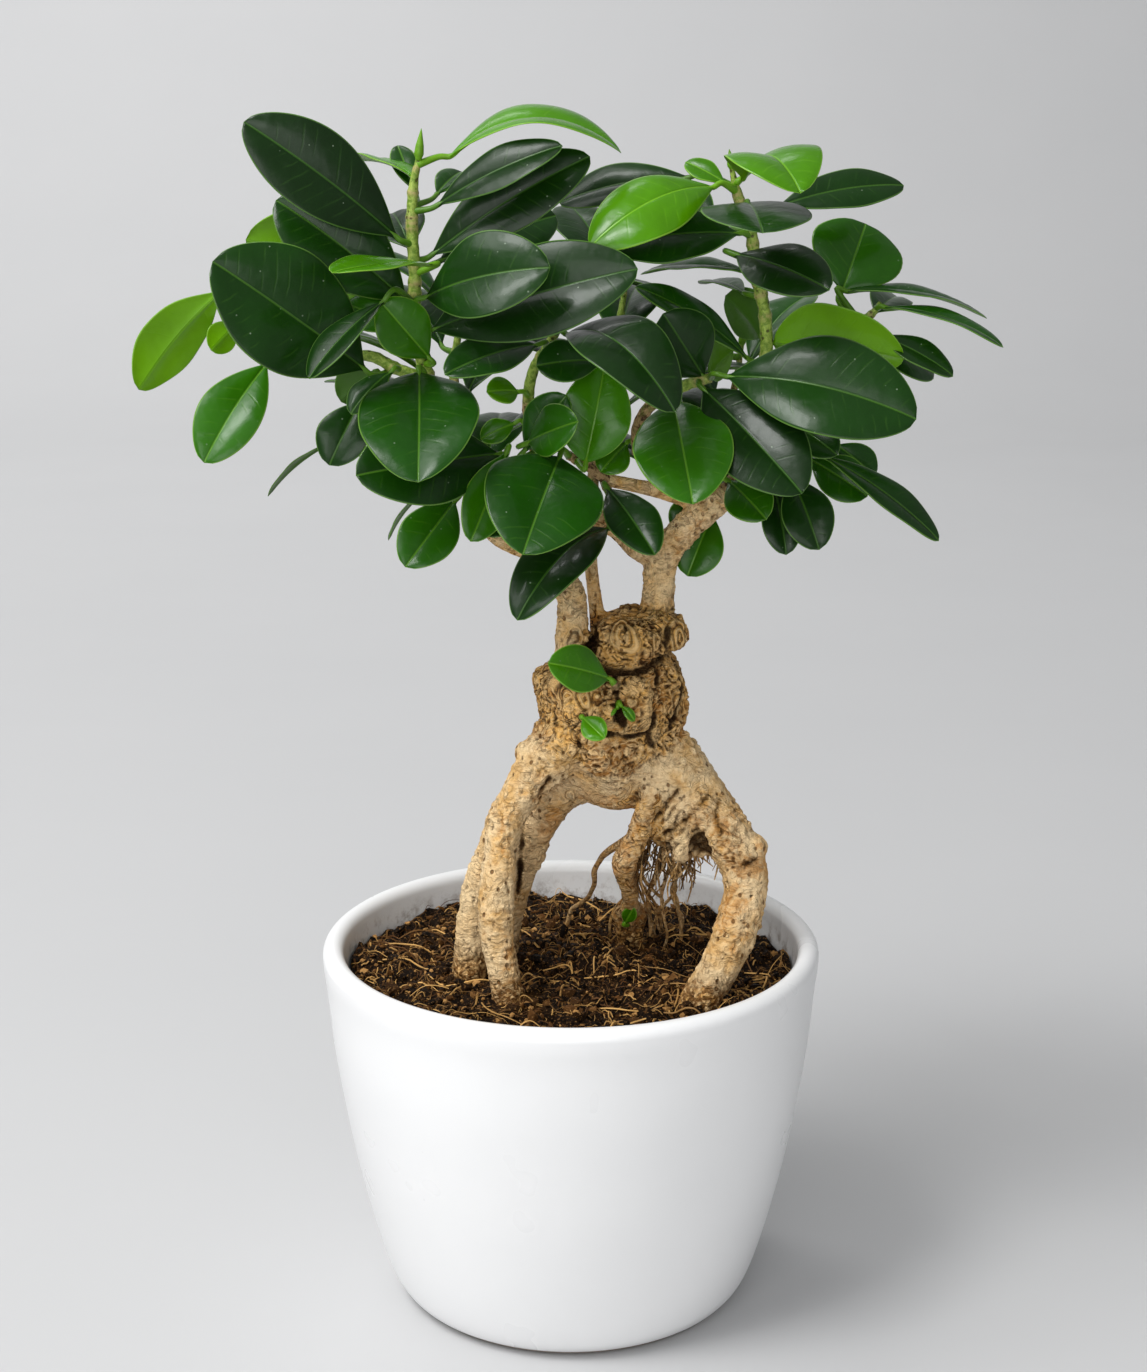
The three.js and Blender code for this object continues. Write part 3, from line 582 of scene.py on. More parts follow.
@once
def bark_material():
    look = Look("bark", IOR=1.4, Specular_IOR_Level=0.14)
    pale, brown, dark = look.named("bark")
    rust_and_under_shade, soiled, crest = look.named("zone")
    ringed_by, ring_count, seam = look.named("knot")
    cream = look.mix(brown, *CREAM)
    blotch = look.noise(3.4, detail=4.0, rough=0.6, curl=0.8)
    fine = look.noise(1.2, detail=3.0, rough=0.6, curl=0.4)
    grainy = look.noise(0.55, rough=0.6)
    look.relief = 0.3 * grainy + 0.6 * fine
    paint_ground(look, brown, rust_and_under_shade, fine, blotch)
    paint_streaks(look, brown, cream)
    paint_curls(look, brown, cream, ringed_by)

    # Small scattered ring marks, most of them on the belly
    near, draw = look.spots(5.8, look.stretched(1, 1, 0.8))
    near = near + 0.30 * (blotch - 0.5)
    inside = near.ease(0.46, 0.36) * draw.ease(0.66, 0.70) * brown
    paint_rings(look, inside, 24.0 * near, (0.8, 0.1, 0.8), cream, (0.7, -0.4, -0.9))

    # Old knots, with rings round them
    inside = ringed_by.ease(1.12, 0.85) * ring_count.ease(0.1, 0.5)
    turns = 2 * math.pi * ringed_by * ring_count
    paint_rings(look, inside, turns, (0.85, 0.0, 0.8), KNOT_PALE, (0.8, -0.45, -0.95))
    paint_chips(look, brown, cream)

    # Pale scars, with painted light on parts in shade; a painted highlight on crests; dark marks with
    # painted shade in hollows; cracks, and soil on the feet
    look.paint(pale * (0.6 * grainy + 0.62), cream)
    # Painted highlight on the convex crests
    look.paint(0.5 * crest, cream)
    # The dark channel: grooves, pits and dark marks, with painted shade in hollows, under the hip and behind
    # the central root
    gloom = dark * (0.7 * fine + 0.6)
    look.paint(gloom.math("MINIMUM", 0.96), HOLLOW_BLACK)
    crack = (0.5 * grainy + seam).ease(1.4, 0.8) * look.noise(4, detail=1.0).ease(0.15, 0.40)
    look.paint(0.9 * crack, CRACK_BLACK)
    look.raised(crack, -1.2)
    look.paint(soiled * fine.ease(0.35, 0.6), MUD)
    return look.finish(0.2 * fine + 0.62, look.bump(look.relief, 0.9))


@once
def soil_material():
    look = Look("soil", IOR=1.4, Specular_IOR_Level=0.12)
    draw, warm, _ = look.named("grain")
    fine = look.noise(0.8, detail=4.0, rough=0.75)
    look.colour = look.ramp(draw, [
        (0.0, (0.0022, 0.0011, 0.0005)),
        (0.55, (0.0150, 0.0062, 0.0016)),
        (0.75, (0.1100, 0.0460, 0.0120)),
        (1.0, (0.5600, 0.3000, 0.1000)),
    ])
    look.paint(0.6 * warm.ease(0.75, 2.0), (0.260, 0.115, 0.032))
    look.paint(0.8 * fine.ease(0.55, 0.68), (0.400, 0.200, 0.065))
    return look.finish(0.3 * fine + 0.42, look.bump(fine, 0.5))


@once
def fibre_material():
    look = Look("fibre", IOR=1.4, Specular_IOR_Level=0.25)
    draw = look.named("grain")[0]
    look.colour = look.mix(draw.ease(0.15, 0.9), (0.110, 0.044, 0.010), (0.760, 0.440, 0.140))
    look.shade(0.9 * look.noise(1.2, detail=3.0) + 0.45)
    return look.finish(0.6, look.bump(look.noise(0.4), 0.05, 0.5))


# Heights below which the foot is dark brown and rougher, and where soil dust lies on the inside of the wall,
# in mm
DARK_FOOT_BELOW = (1.1, 0.5)
DUST_OUTSIDE = (66.8, 65.5)
DUST_TOP = (102.5, 94.5)
DUST_BOTTOM = (86.0, 90.0)


@once
def glaze_material():
    look = Look("glaze", IOR=1.5, Specular_IOR_Level=0.4, **COAT)
    look.colour = look.mix(look.noise(34, detail=3.0), (0.835, 0.839, 0.841), (0.880, 0.881, 0.881))
    near, draw = look.spots(13)
    speck = near.ease(0.032, 0.02) * draw.ease(0.72, 0.76)
    look.paint(0.4 * speck, (0.30, 0.27, 0.23))
    x, y, z = (part / MM for part in look.parts(look.place()))
    # The lowest band of the foot: dark brown and rougher
    dark_foot = z.ease(*DARK_FOOT_BELOW)
    look.paint(dark_foot, (0.22, 0.18, 0.15))
    reach = (x * x + y * y).math("SQRT")
    smudge = reach.ease(*DUST_OUTSIDE) * z.ease(*DUST_TOP) * z.ease(*DUST_BOTTOM)
    smudge = smudge * look.noise(4, detail=5.0, rough=0.7).ease(0.44, 0.72)
    look.paint(0.75 * smudge, (0.19, 0.125, 0.075))
    rough = 0.10 * look.noise(22) + 0.5 * dark_foot + 0.24
    return look.finish(rough, look.bump(look.noise(6), 0.10, 0.2))


@once
def floor_material():
    look = Look("floor", IOR=1.45, Specular_IOR_Level=0.2)
    look.colour = look.mix(look.noise(160, detail=3.0), (0.555, 0.557, 0.560), (0.580, 0.580, 0.582))
    return look.finish(0.1 * look.noise(60) + 0.55)


# Leaves: obovate blades on parabola ribs, as in the solids, here with cupped halves, veins and thin margins
STALK_RADIUS = 0.95
STALK_RADII = (1.1, 0.8, 0.75, 0.3)
STALK_SIDES = 8
STALK_STEP = 0.9
STALK_PLACES = 60
STALK_FROM = 8
LOW_STALK_COST = 0.6
LONGEST_BEND = 5
BASE_POWER = 0.76
TIP_POWER = 0.56
BLADE_STEP = 1.1
BLADE_THICKNESS = 0.55
VEIN_SPACING = 3.6
VEIN_SLANT = 0.5
# A blade's sway as a share of its length, its twist in radians, and the number of waves in its margin
SWAY = 0.03
TWIST = 0.3
WAVES = (1.2, 2.5)
# As shares of the half width: how far each half cups and how high its margin waves
CUP = 0.07
WAVE_HEIGHT = 0.035
# In mm: the least and most that a blade bulges between its veins, then how deep and how wide to each side
# the keel under the rib and the channel along its top are
QUILT = (0.05, 0.14)
KEEL = (0.5, 0.55)
CHANNEL = (0.16, 0.4)
# Blades and stalks narrower than this have a smaller rib and a thinner stalk
BROAD_RIB = 20
BROAD_STALK = 18
FRONT = (0, -1, 0.5)
LIFTED = (0, -1, 0.9)
LEVEL = (0, -0.15, 1)
AWAY = (0, 1, 0.5)
# Shares of the half width at which a blade has points, from the rib to the margin
HALF_ACROSS = np.array([0, 0.05, 0.13, 0.28, 0.46, 0.65, 0.82, 0.94, 1])


def leaf(foot, tip, wide, face, young=0.1, arch=0.06, fold=0.12, curl=0.0, full=0.56):
    return {
        "foot": foot, "tip": tip, "wide": wide, "face": face, "young": young,
        "arch": arch, "fold": fold, "curl": curl, "full": full,
    }


def shoot(stems, leaves, bud=None):
    """A bud's length and half width are in mm, and it ends the first stem."""
    return {"stems": stems, "leaves": leaves, "bud": bud}


def blade_frame(one):
    chord = np.subtract(one["tip"], one["foot"]).astype(float)
    along = unit(chord)
    face = np.array(one["face"], float)
    up = unit(face - along * face.dot(along))
    return np.linalg.norm(chord), along, up, np.cross(along, up)


def add_blade(mesh, one, draw):
    length, along, up, side = blade_frame(one)
    steps = max(16, round(length / BLADE_STEP))
    even = np.linspace(0, 1, steps + 1)
    u = 0.7 * even + 0.15 * (1 - np.cos(math.pi * even))
    skew = math.log(0.5) / math.log(one["full"])
    power = BASE_POWER + (TIP_POWER - BASE_POWER) * u
    half = one["wide"] / 2 * np.maximum(np.sin(math.pi * np.minimum(u**skew, 1)), 0) ** power
    half = np.hypot(half, 0.8 * STALK_RADIUS * np.exp(-u / 0.03))
    rise = 4 * one["arch"] * u * (1 - u) - one["curl"] * u**4
    slope = np.arctan(4 * one["arch"] * (1 - 2 * u) - 4 * one["curl"] * u**3)
    sway = SWAY * (draw() - 0.5) * length
    twist = TWIST * (draw() - 0.5)
    waves = between(draw, *WAVES)
    start = 2 * math.pi * draw()
    tone = draw()
    rib = np.array(one["foot"]) + np.outer(length * u, along) + np.outer(length * rise, up)
    rib += np.outer(sway * np.sin(math.pi * u), side)
    normal = np.outer(np.cos(slope), up) - np.outer(np.sin(slope), along)
    turn = twist * (u - 0.5)
    sides = np.outer(np.cos(turn), side) + normal * np.sin(turn)[:, None]
    normal = normal * np.cos(turn)[:, None] - np.outer(np.sin(turn), side)
    v = np.concatenate([-HALF_ACROSS[:0:-1], HALF_ACROSS])[None, :]
    out = np.abs(v)
    across = half[:, None] * v
    lift = one["fold"] * 1.12 * v**2 / (out + 0.12) + CUP * np.sin(math.pi * out)
    lift = lift + WAVE_HEIGHT * v**2 * np.sin(2 * math.pi * waves * u[:, None] + start + 2.1 * np.sign(v))
    vein = (length * u[:, None] - np.abs(across) * VEIN_SLANT) / VEIN_SPACING
    quilt = (np.abs(np.sin(math.pi * vein)) - 0.6) * np.sin(math.pi * out) * between(draw, *QUILT)
    centre = rib[:, None] + across[..., None] * sides[:, None]
    centre = centre + (half[:, None] * lift + quilt)[..., None] * normal[:, None]
    ending = np.minimum(1, (1 - u) * 9 + 0.25)[:, None]
    thick = BLADE_THICKNESS / 2 * (1 - 0.6 * out**4) * ending
    size = min(1, one["wide"] / BROAD_RIB)
    keel = KEEL[0] * size * np.exp(-((across / KEEL[1]) ** 2)) * (1 - u[:, None]) ** 0.8
    groove = CHANNEL[0] * size * np.exp(-((across / CHANNEL[1]) ** 2)) * (1 - u[:, None]) ** 0.5
    above = centre + (thick - groove)[..., None] * normal[:, None]
    below = centre - (thick + keel)[..., None] * normal[:, None]
    rings = np.concatenate([above, below[:, ::-1]], axis=1)
    points, faces = ringed(rings)
    walked = np.broadcast_to(length * u[:, None], across.shape)
    margin = half[:, None] - np.abs(across)
    place = np.stack([walked, across, margin], axis=-1)
    place = np.concatenate([place, place[:, ::-1]], axis=1).reshape(-1, 3)
    under = np.concatenate([np.zeros_like(across), np.ones_like(across)], axis=1).reshape(-1)
    look = np.stack([np.full_like(under, one["young"]), np.full_like(under, tone), under], axis=-1)
    place = np.vstack([place[0], place, place[-1]])
    look = np.vstack([look[0], look, look[-1]])
    mesh.add(points, faces, 0, blade=place, look=look)


def nearest_on_stems(stems, foot):
    """The stem and the share along it that a leaf's stalk grows from."""
    best = None
    for number, points in enumerate(stems):
        shares = np.arange(STALK_FROM, STALK_PLACES + 1) / STALK_PLACES
        places = path_at(points, shares)[0]
        apart = places - np.array(foot, float)
        low = np.maximum(2 + apart[:, 2], 0) * LOW_STALK_COST
        scores = np.linalg.norm(apart, axis=1) + low
        k = int(scores.argmin())
        if best is None or scores[k] < best[0]:
            best = (scores[k], number, shares[k], places[k])
    return best[1:]


def add_stalk(mesh, one, root):
    length, along, up, _ = blade_frame(one)
    foot = np.array(one["foot"], float)
    back = min(0.35 * np.linalg.norm(foot - root), LONGEST_BEND)
    bend = foot - along * back
    end = foot + along * 0.07 * length + up * (0.25 * one["arch"] * length - 0.35)
    size = 0.75 + 0.25 * min(1, one["wide"] / BROAD_STALK)
    path = [(*p, size * r) for p, r in zip((root, bend, foot, end), STALK_RADII)]
    points, faces, walked = tube(path, STALK_SIDES, STALK_STEP)
    look = np.column_stack([np.full(len(points), one["young"]), walked, np.zeros(len(points))])
    mesh.add(points, faces, 1, look=look)


# Stems are green where they are young, above this height, and woody below it
GREEN_HEIGHT = 258
GREEN_SPREAD = 9
NODE_WIDTH = 0.7
NODE_SWELL = 0.18


def add_stem(mesh, points, node_shares):
    total = path_length(points)
    nodes = [share * total for share in node_shares]

    def knobby(walked, radii):
        swell = np.zeros_like(walked)
        for node in nodes:
            swell += np.exp(-(((walked - node) / NODE_WIDTH) ** 2))
        return radii * (1 + NODE_SWELL * np.minimum(swell, 1) + 0.03 * np.sin(walked * 2.3))

    made, faces, walked = tube(points, 12, 0.8, knobby)
    made += shaken(made, 2.2, 0, 0.12)
    near = np.zeros(len(made))
    for node in nodes:
        near = np.maximum(near, np.exp(-(((walked - node) / NODE_WIDTH) ** 2)))
    age = smooth(GREEN_HEIGHT + GREEN_SPREAD, GREEN_HEIGHT - GREEN_SPREAD, made[:, 2])
    look = np.column_stack([age, walked, near])
    mesh.add(made, faces, 2, look=look)


# Shares of a bud's length and of its half width
BUD_SHAPE = [(-0.15, 0.5), (0.1, 1), (0.4, 0.85), (0.75, 0.4), (1, 0.08)]


def add_bud(mesh, points, long, wide):
    """A pointed bud on the end of a stem."""
    centres, along = path_at(points, [1.0])
    tip = centres[0]
    heading = unit(along[0] + np.array([0, 0, 0.6]))
    path = [(*(tip + heading * long * t), wide * r) for t, r in BUD_SHAPE]
    made, faces, walked = tube(path, 10, 0.5, ends=(0.2, 1.5))
    look = np.column_stack([np.full(len(made), 0.8), walked, np.zeros(len(made))])
    mesh.add(made, faces, 1, look=look)


# Shoots, by the name of their node. A stem's points are (x, y, z, radius). A leaf has its foot, its tip, its
# width, the way it faces, how young it is from 0 to 1, and what is special about its form.
SHOOTS = {}

SHOOTS["left_shoot"] = shoot(
    stems=[
        [(-26.4, -3, 232, 2.1), (-29, -4.5, 246, 2.1), (-35, -7, 258, 2), (-38.5, -8.5, 267, 1.9),
         (-40.5, -9.5, 280, 1.7), (-40.5, -10, 292, 1.6), (-41, -10, 303, 1.5), (-40.5, -10, 313, 1.3),
         (-39, -10, 321, 0.6)],
        [(-37.5, -8, 264, 1.6), (-45, -8, 266, 1.6), (-53, -6, 269.5, 1.5), (-62, -5, 268, 1.4),
         (-72, -4, 266, 1.2), (-81, -1, 272, 0.9)],
        [(-47, -7, 267, 1.2), (-52, -4, 260, 1.1), (-58, -2, 252, 0.9)],
        [(-28, -3.5, 240, 1.5), (-22, -6, 242, 1.3), (-17.5, -8.5, 243, 1)],
    ],
    leaves=[
        leaf((-45, -13, 301), (-82, -22, 330), 22, FRONT, 0),
        leaf((-45, -3, 284), (-86, 4, 299), 28, AWAY, 0.95),
        leaf((-43, -8, 284), (-76, -10, 310), 23, FRONT, 0.15),
        leaf((-37, -14, 270), (-49, -19, 285), 15, FRONT, 0.65),
        leaf((-36, -15, 294), (-59, -40, 294), 16, LEVEL, 0.85, arch=0.03),
        leaf((-31, -8, 321), (13, -6, 323), 20, (0, -0.25, 1), 0.9, arch=0.2, curl=0.03),
        leaf((-34, -12, 309), (-2, -19, 324), 13, LIFTED, 0),
        leaf((-36, -8, 296), (5, -9, 321), 18, FRONT, 0.05),
        leaf((-37, -18, 286), (-5, -36, 295), 23, FRONT, 0.12, arch=0.1),
        leaf((-36, -13, 277), (17, -28, 294), 25, FRONT, 0),
        leaf((-41, -6, 316), (-57, 14, 319), 14, (-0.2, 0.5, 1), 0.85),
        leaf((-41, 0, 312), (-46, 12, 323), 7, LIFTED, 0.3),
        leaf((-35, 0, 311), (-29, 14, 316), 8, LIFTED, 0.2),
        leaf((-43, -10, 278), (-59, -7, 283), 11, FRONT, 0.5),
        leaf((-42, -2, 297), (-48, 18, 305), 14, FRONT, 0.1),
        leaf((-35, 8, 293), (-4, 24, 304), 18, FRONT, 0.1),
        leaf((-39.5, -14, 266), (-38, -48, 243), 31, (0, -1, 0.3), 0.3, full=0.5),
        leaf((-54, -13, 267), (-90, -30, 296), 32, FRONT, 0.12),
        leaf((-48, -22, 285), (-66, -34, 267), 14, (-0.8, -0.7, 0.5), 0.05),
        leaf((-93, 2, 285.5), (-115, -2, 260), 18, (-0.5, 1, 0.5), 0.85),
        leaf((-89, 6, 277), (-96, 2, 270), 9, AWAY, 0.9),
        leaf((-80, -8, 267.5), (-95, -24, 244), 17, FRONT, 0.48),
        leaf((-66, -2, 245), (-81, -6, 232), 9, (-0.9, 0.2, 0.8), 0.15),
        leaf((-56, -4, 257), (-64, -10, 241), 14, FRONT, 0.1),
        leaf((-52, -6, 265), (-61, -4, 257), 12, AWAY, 0.1),
        leaf((-47, -13, 266), (-57, -20, 256), 10, (-0.6, -0.8, 0.3), 0.2),
        leaf((-19, -10, 244), (-55, -32, 242), 24, FRONT, 0.2),
        leaf((-31, -8, 231), (-43.5, -22, 216), 15.5, FRONT, 0.4),
        leaf((-17, -15, 245), (-26, -28, 224), 13, (0.2, -1, 0.3), 0.6),
        leaf((-41, 0, 231), (-49, -6, 220), 8, (-0.9, 0.1, 0.6), 0.2),
        leaf((-14, -6, 231), (-22, -16, 223), 9, FRONT, 0.2),
    ],
    bud=(7, 1.3),
)

SHOOTS["middle_left_shoot"] = shoot(
    stems=[
        [(-0.5, 4.2, 228.5, 1.9), (-6, 3, 236, 1.8), (-10, 1, 246, 1.7), (-11.3, 0, 256, 1.6),
         (-10, -1.5, 265, 1.5), (-6, -4, 272, 1.2), (-3, -6, 277, 0.9)],
    ],
    leaves=[
        leaf((-9, -12, 273), (-32, -30, 267.5), 14, (0, -0.8, 0.8), 0.1),
        leaf((-12, -8, 245), (-1, -12, 260), 13, FRONT, 0.35),
        leaf((-11, -12, 247.5), (2, -26, 255), 14, FRONT, 0.4),
        leaf((-14, -6, 260), (-22, -14, 261), 8, FRONT, 1),
        leaf((-15, -2, 251), (-24, -4, 247), 7, FRONT, 0.7),
        leaf((-1, -14, 276), (26, -44, 260), 22, (0.4, -1, 0.6), 0.02, arch=0.22),
    ],
    bud=(4, 1.0),
)

SHOOTS["centre_shoot"] = shoot(
    stems=[
        [(9.8, 0.5, 235.3, 1.6), (4.5, -2, 239.5, 1.4), (-0.5, -6, 243, 1.1)],
        [(4.5, -2, 239.5, 1.2), (5.5, -3, 250, 1.1), (8, -2, 262, 0.9)],
        [(8, 0, 237, 1.2), (11.5, 1, 229, 1.1), (13, 1, 224, 0.9)],
    ],
    leaves=[
        leaf((-3, -16, 244), (-12, -50, 225), 31, (0, -1, 0.3), 0.28, full=0.5),
        leaf((10, 0, 222), (-14, -28, 203), 19, (-0.5, -1, 0.6), 0.1, arch=0.16),
        leaf((4, -10, 242), (9, -4, 267), 19, (0, -1, 0.2), 0.7, full=0.45),
        leaf((10, -6, 234), (22, -26, 220), 14, (0.3, -1, 0.2), 0.05),
        leaf((9, -6, 268), (-9, -16, 268), 12, FRONT, 0.15, full=0.62),
    ],
)

SHOOTS["middle_right_shoot"] = shoot(
    stems=[
        [(26, 3, 231.5, 1.9), (21, 3, 238, 1.9), (18, 2, 245, 1.8), (19, 1, 252, 1.7),
         (24, -1, 258, 1.6), (31, -3, 261.5, 1.6), (37, -4, 263.5, 1.2)],
    ],
    leaves=[
        leaf((15, 2, 245), (8, -3, 238), 10, FRONT, 0.7),
        leaf((27, -8, 258), (31, -40, 236), 26, (0, -1, 0.35), 0.5),
        leaf((35, -9, 261), (59, -36, 238), 24, (0.1, -1, 0.45), 0.02),
        leaf((41, -14, 265), (88, -32, 256.5), 28, (0, -1, 0.6), 0.12, arch=0.1),
        leaf((35, -4, 264), (24, -10, 281), 19, FRONT, 0.05),
        leaf((37, 2, 263), (44, 10, 269), 12, AWAY, 0.3),
    ],
)

SHOOTS["right_shoot"] = shoot(
    stems=[
        [(42, -3, 232.5, 2.6), (46.5, -4, 240, 2.3), (50, -2, 252, 2), (52, 0, 265, 1.9),
         (51.5, 0, 279, 1.7), (49, 0, 291, 1.6), (47, 0, 303, 1.5), (44, 0, 310, 1.3),
         (42, 0, 318, 0.6)],
        [(51, -1, 262, 1.6), (62, 4, 270, 1.5), (72, 7, 275, 1.3), (80, 8, 278.5, 1.1),
         (83, 8, 282, 0.7)],
    ],
    leaves=[
        leaf((47, 3, 268), (17, -1, 287), 14, (0.2, -0.5, 0.9), 0.3),
        leaf((54, 2, 272), (88, -6, 269), 28, (0.1, 0.75, 0.65), 0.7, full=0.4),
        leaf((43, -9, 296), (65, -32, 289), 18, LIFTED, 0.05, fold=0.02),
        leaf((45, -2, 315), (57, -34, 313), 24, (0, -0.4, 1), 0.92, arch=0.22),
        leaf((55, 6, 307.5), (89, 14, 312.5), 13, LIFTED, 0.05, fold=0.02),
        leaf((37, -5, 313), (5, -22, 299), 21, (-0.2, -1, 0.9), 1, fold=-0.15, arch=0.15),
        leaf((31, 5, 315), (-3, 12, 308), 13, LIFTED, 0.05),
        leaf((46, -6, 309), (47, -44, 304), 28, LEVEL, 0.08, arch=0.03, fold=0.05),
        leaf((44, -2, 301), (9, -12, 298), 19, LIFTED, 0.2),
        leaf((46, 0, 291), (19, 14, 289), 14, LEVEL, 0.25),
        leaf((46, 4, 285), (37, 30, 285), 10, LEVEL, 0.15),
        leaf((51, 6, 273), (42, 18, 283), 14, AWAY, 0.1),
        leaf((38, 6, 303), (27, 22, 310), 12, FRONT, 0.15),
        leaf((40, -2, 314), (30, 3, 319), 7, LIFTED, 0.8),
        leaf((73, 11, 285), (80, 22, 302), 26, (0.1, -1, 0.3), 0.45, full=0.52),
        leaf((74, 8, 285), (113, 16, 277), 13, LEVEL, 0.2, arch=0.08),
        leaf((84, 6, 281), (115, 0, 271), 12, LEVEL, 0.25, arch=0.08),
        leaf((82, 12, 279), (91, 34, 281), 12, LIFTED, 0.3),
        leaf((82, 0, 274), (101, -6, 264), 12, (0.2, -0.5, 0.8), 0.1),
        leaf((81, 6, 270), (99, 14, 262), 12, LIFTED, 0.2),
        leaf((42, -12, 237), (51, -24, 229), 13, FRONT, 0.5),
    ],
    bud=(4.5, 1.2),
)

SHOOTS["lower_right_shoot"] = shoot(
    stems=[
        [(37, 1, 226.5, 1.6), (42, 6, 229, 1.5), (49, 5, 233.5, 1.3), (56, 3, 238.5, 1.2),
         (62, 1, 243, 0.9)],
        [(42, 6, 229, 1.1), (40, 9, 230, 1), (38, 11, 232, 0.8)],
    ],
    leaves=[
        leaf((62, 2, 249), (71, -6, 243), 10, FRONT, 0.1),
        leaf((65, 5, 240), (80, -1, 231), 13, FRONT, 0.4),
        leaf((68, -2, 242), (98, -12, 221), 12, (0.3, -0.5, 0.8), 0.25),
        leaf((72, 6, 244), (83, 8, 235), 10, FRONT, 0.25),
        leaf((59, -4, 237), (66, -14, 219), 14, FRONT, 0.1),
        leaf((55, 3, 233), (58, -6, 216), 11, FRONT, 0.05),
        leaf((39, 10, 224), (32, 4, 208), 14, FRONT, 0.6),
        leaf((35, 8, 229), (28, 5, 221), 9, FRONT, 0.5),
    ],
)


# Back shoots: leaves in a spiral round each stem, by the same rule and draws as in the solids
SPIRAL = math.radians(137.5)
INWARD_LIMIT = -0.25
FOOT_OUT = 6
FOOT_UP = 5


def spiral_leaves(points, seed, count, start, step, turn):
    draw = seeded(seed)
    pick = seeded(seed + 100)
    leaves = []
    for i in range(count):
        share = start + step * i
        root = path_at(points, [share])[0][0]
        azimuth = turn + i * SPIRAL + (draw() - 0.5) * 0.5
        rise = 0.1 + 0.6 * share + (draw() - 0.5) * 0.3
        length = between(draw, 32, 42)
        arch = between(draw, 0.08, 0.13)
        young = 0.25 * pick()
        out = np.array([math.cos(azimuth), math.sin(azimuth), 0])
        if out[1] < INWARD_LIMIT:
            continue
        foot = root + out * FOOT_OUT + (0, 0, FOOT_UP)
        tip = foot + out * length * math.cos(rise)
        tip[2] += 0.7 * length * math.sin(rise)
        face = (-0.3 * out[0], -0.3 * out[1], 1)
        leaves.append(leaf(tuple(foot), tuple(tip), 0.52 * length, face, young, arch))
    return leaves


def back_shoot(stem, bud, **spiral):
    return shoot([stem], spiral_leaves(stem, **spiral), bud)


SHOOTS["back_left_shoot"] = back_shoot(
    [(-15.5, 1, 217.5, 1.9), (-18, 10, 222, 1.8), (-24, 20, 230, 1.7), (-30, 29, 243, 1.5),
     (-33, 35, 259, 1.3), (-31, 38, 274, 0.8)],
    bud=(6, 1.2), seed=5, count=14, start=0.3, step=0.0538, turn=3.17,
)
SHOOTS["back_middle_shoot"] = back_shoot(
    [(6, 6, 225, 1.8), (6, 13, 232, 1.7), (8, 19, 243, 1.6), (11, 23, 256, 1.4),
     (13, 25, 272, 1.2), (15, 27, 285, 0.8)],
    bud=(6, 1.1), seed=1, count=8, start=0.4, step=0.075, turn=4.16,
)
SHOOTS["back_right_shoot"] = back_shoot(
    [(25, 4, 211, 1.9), (28, 13, 216, 1.8), (34, 22, 226, 1.6), (41, 29, 240, 1.4),
     (46, 34, 256, 1), (48, 36, 268, 0.7)],
    bud=(6, 1.2), seed=1, count=11, start=0.35, step=0.0591, turn=0.52,
)


SHOOTS["belly_sprout"] = shoot(
    stems=[
        [(12.5, -14, 182, 1), (12.2, -18, 182.5, 0.9), (11.6, -20.5, 184, 0.7)],
    ],
    leaves=[
        leaf((10, -21, 185.5), (-6, -30, 192), 13, (0, -1, 0.6), 0.72),
    ],
)

SHOOTS["low_sprout"] = shoot(
    stems=[
        [(3.5, -13, 173, 1), (3.2, -17.5, 174, 0.9), (3, -19.5, 174.5, 0.7)],
    ],
    leaves=[
        leaf((3.2, -20.5, 174.5), (9, -27, 170.5), 7, (0, -1, 0.4), 0.85),
    ],
)


# Trunk: the swollen belly and head, as rings (height, x, y, half width, half depth)
BELLY = [
    (143, 13, 3, 5, 5), (146, 13.5, 3, 10.5, 10), (152, 13, 3, 15.5, 14), (158, 12.3, 2.5, 18, 16),
    (164.5, 11.5, 2, 18.2, 16.5), (170, 11.4, 2, 19.6, 17.5), (176, 11, 2, 20.8, 18.3),
    (181.5, 10.6, 2, 20.2, 17), (184.8, 13, 2, 16.2, 13.8), (186.6, 14.6, 2, 12.6, 12),
    (189.5, 17.6, 2, 12.6, 12.2), (193.5, 18.5, 2, 12.8, 12), (197.3, 19, 2, 11, 9.8),
    (199.6, 20, 2, 6, 5.4),
]
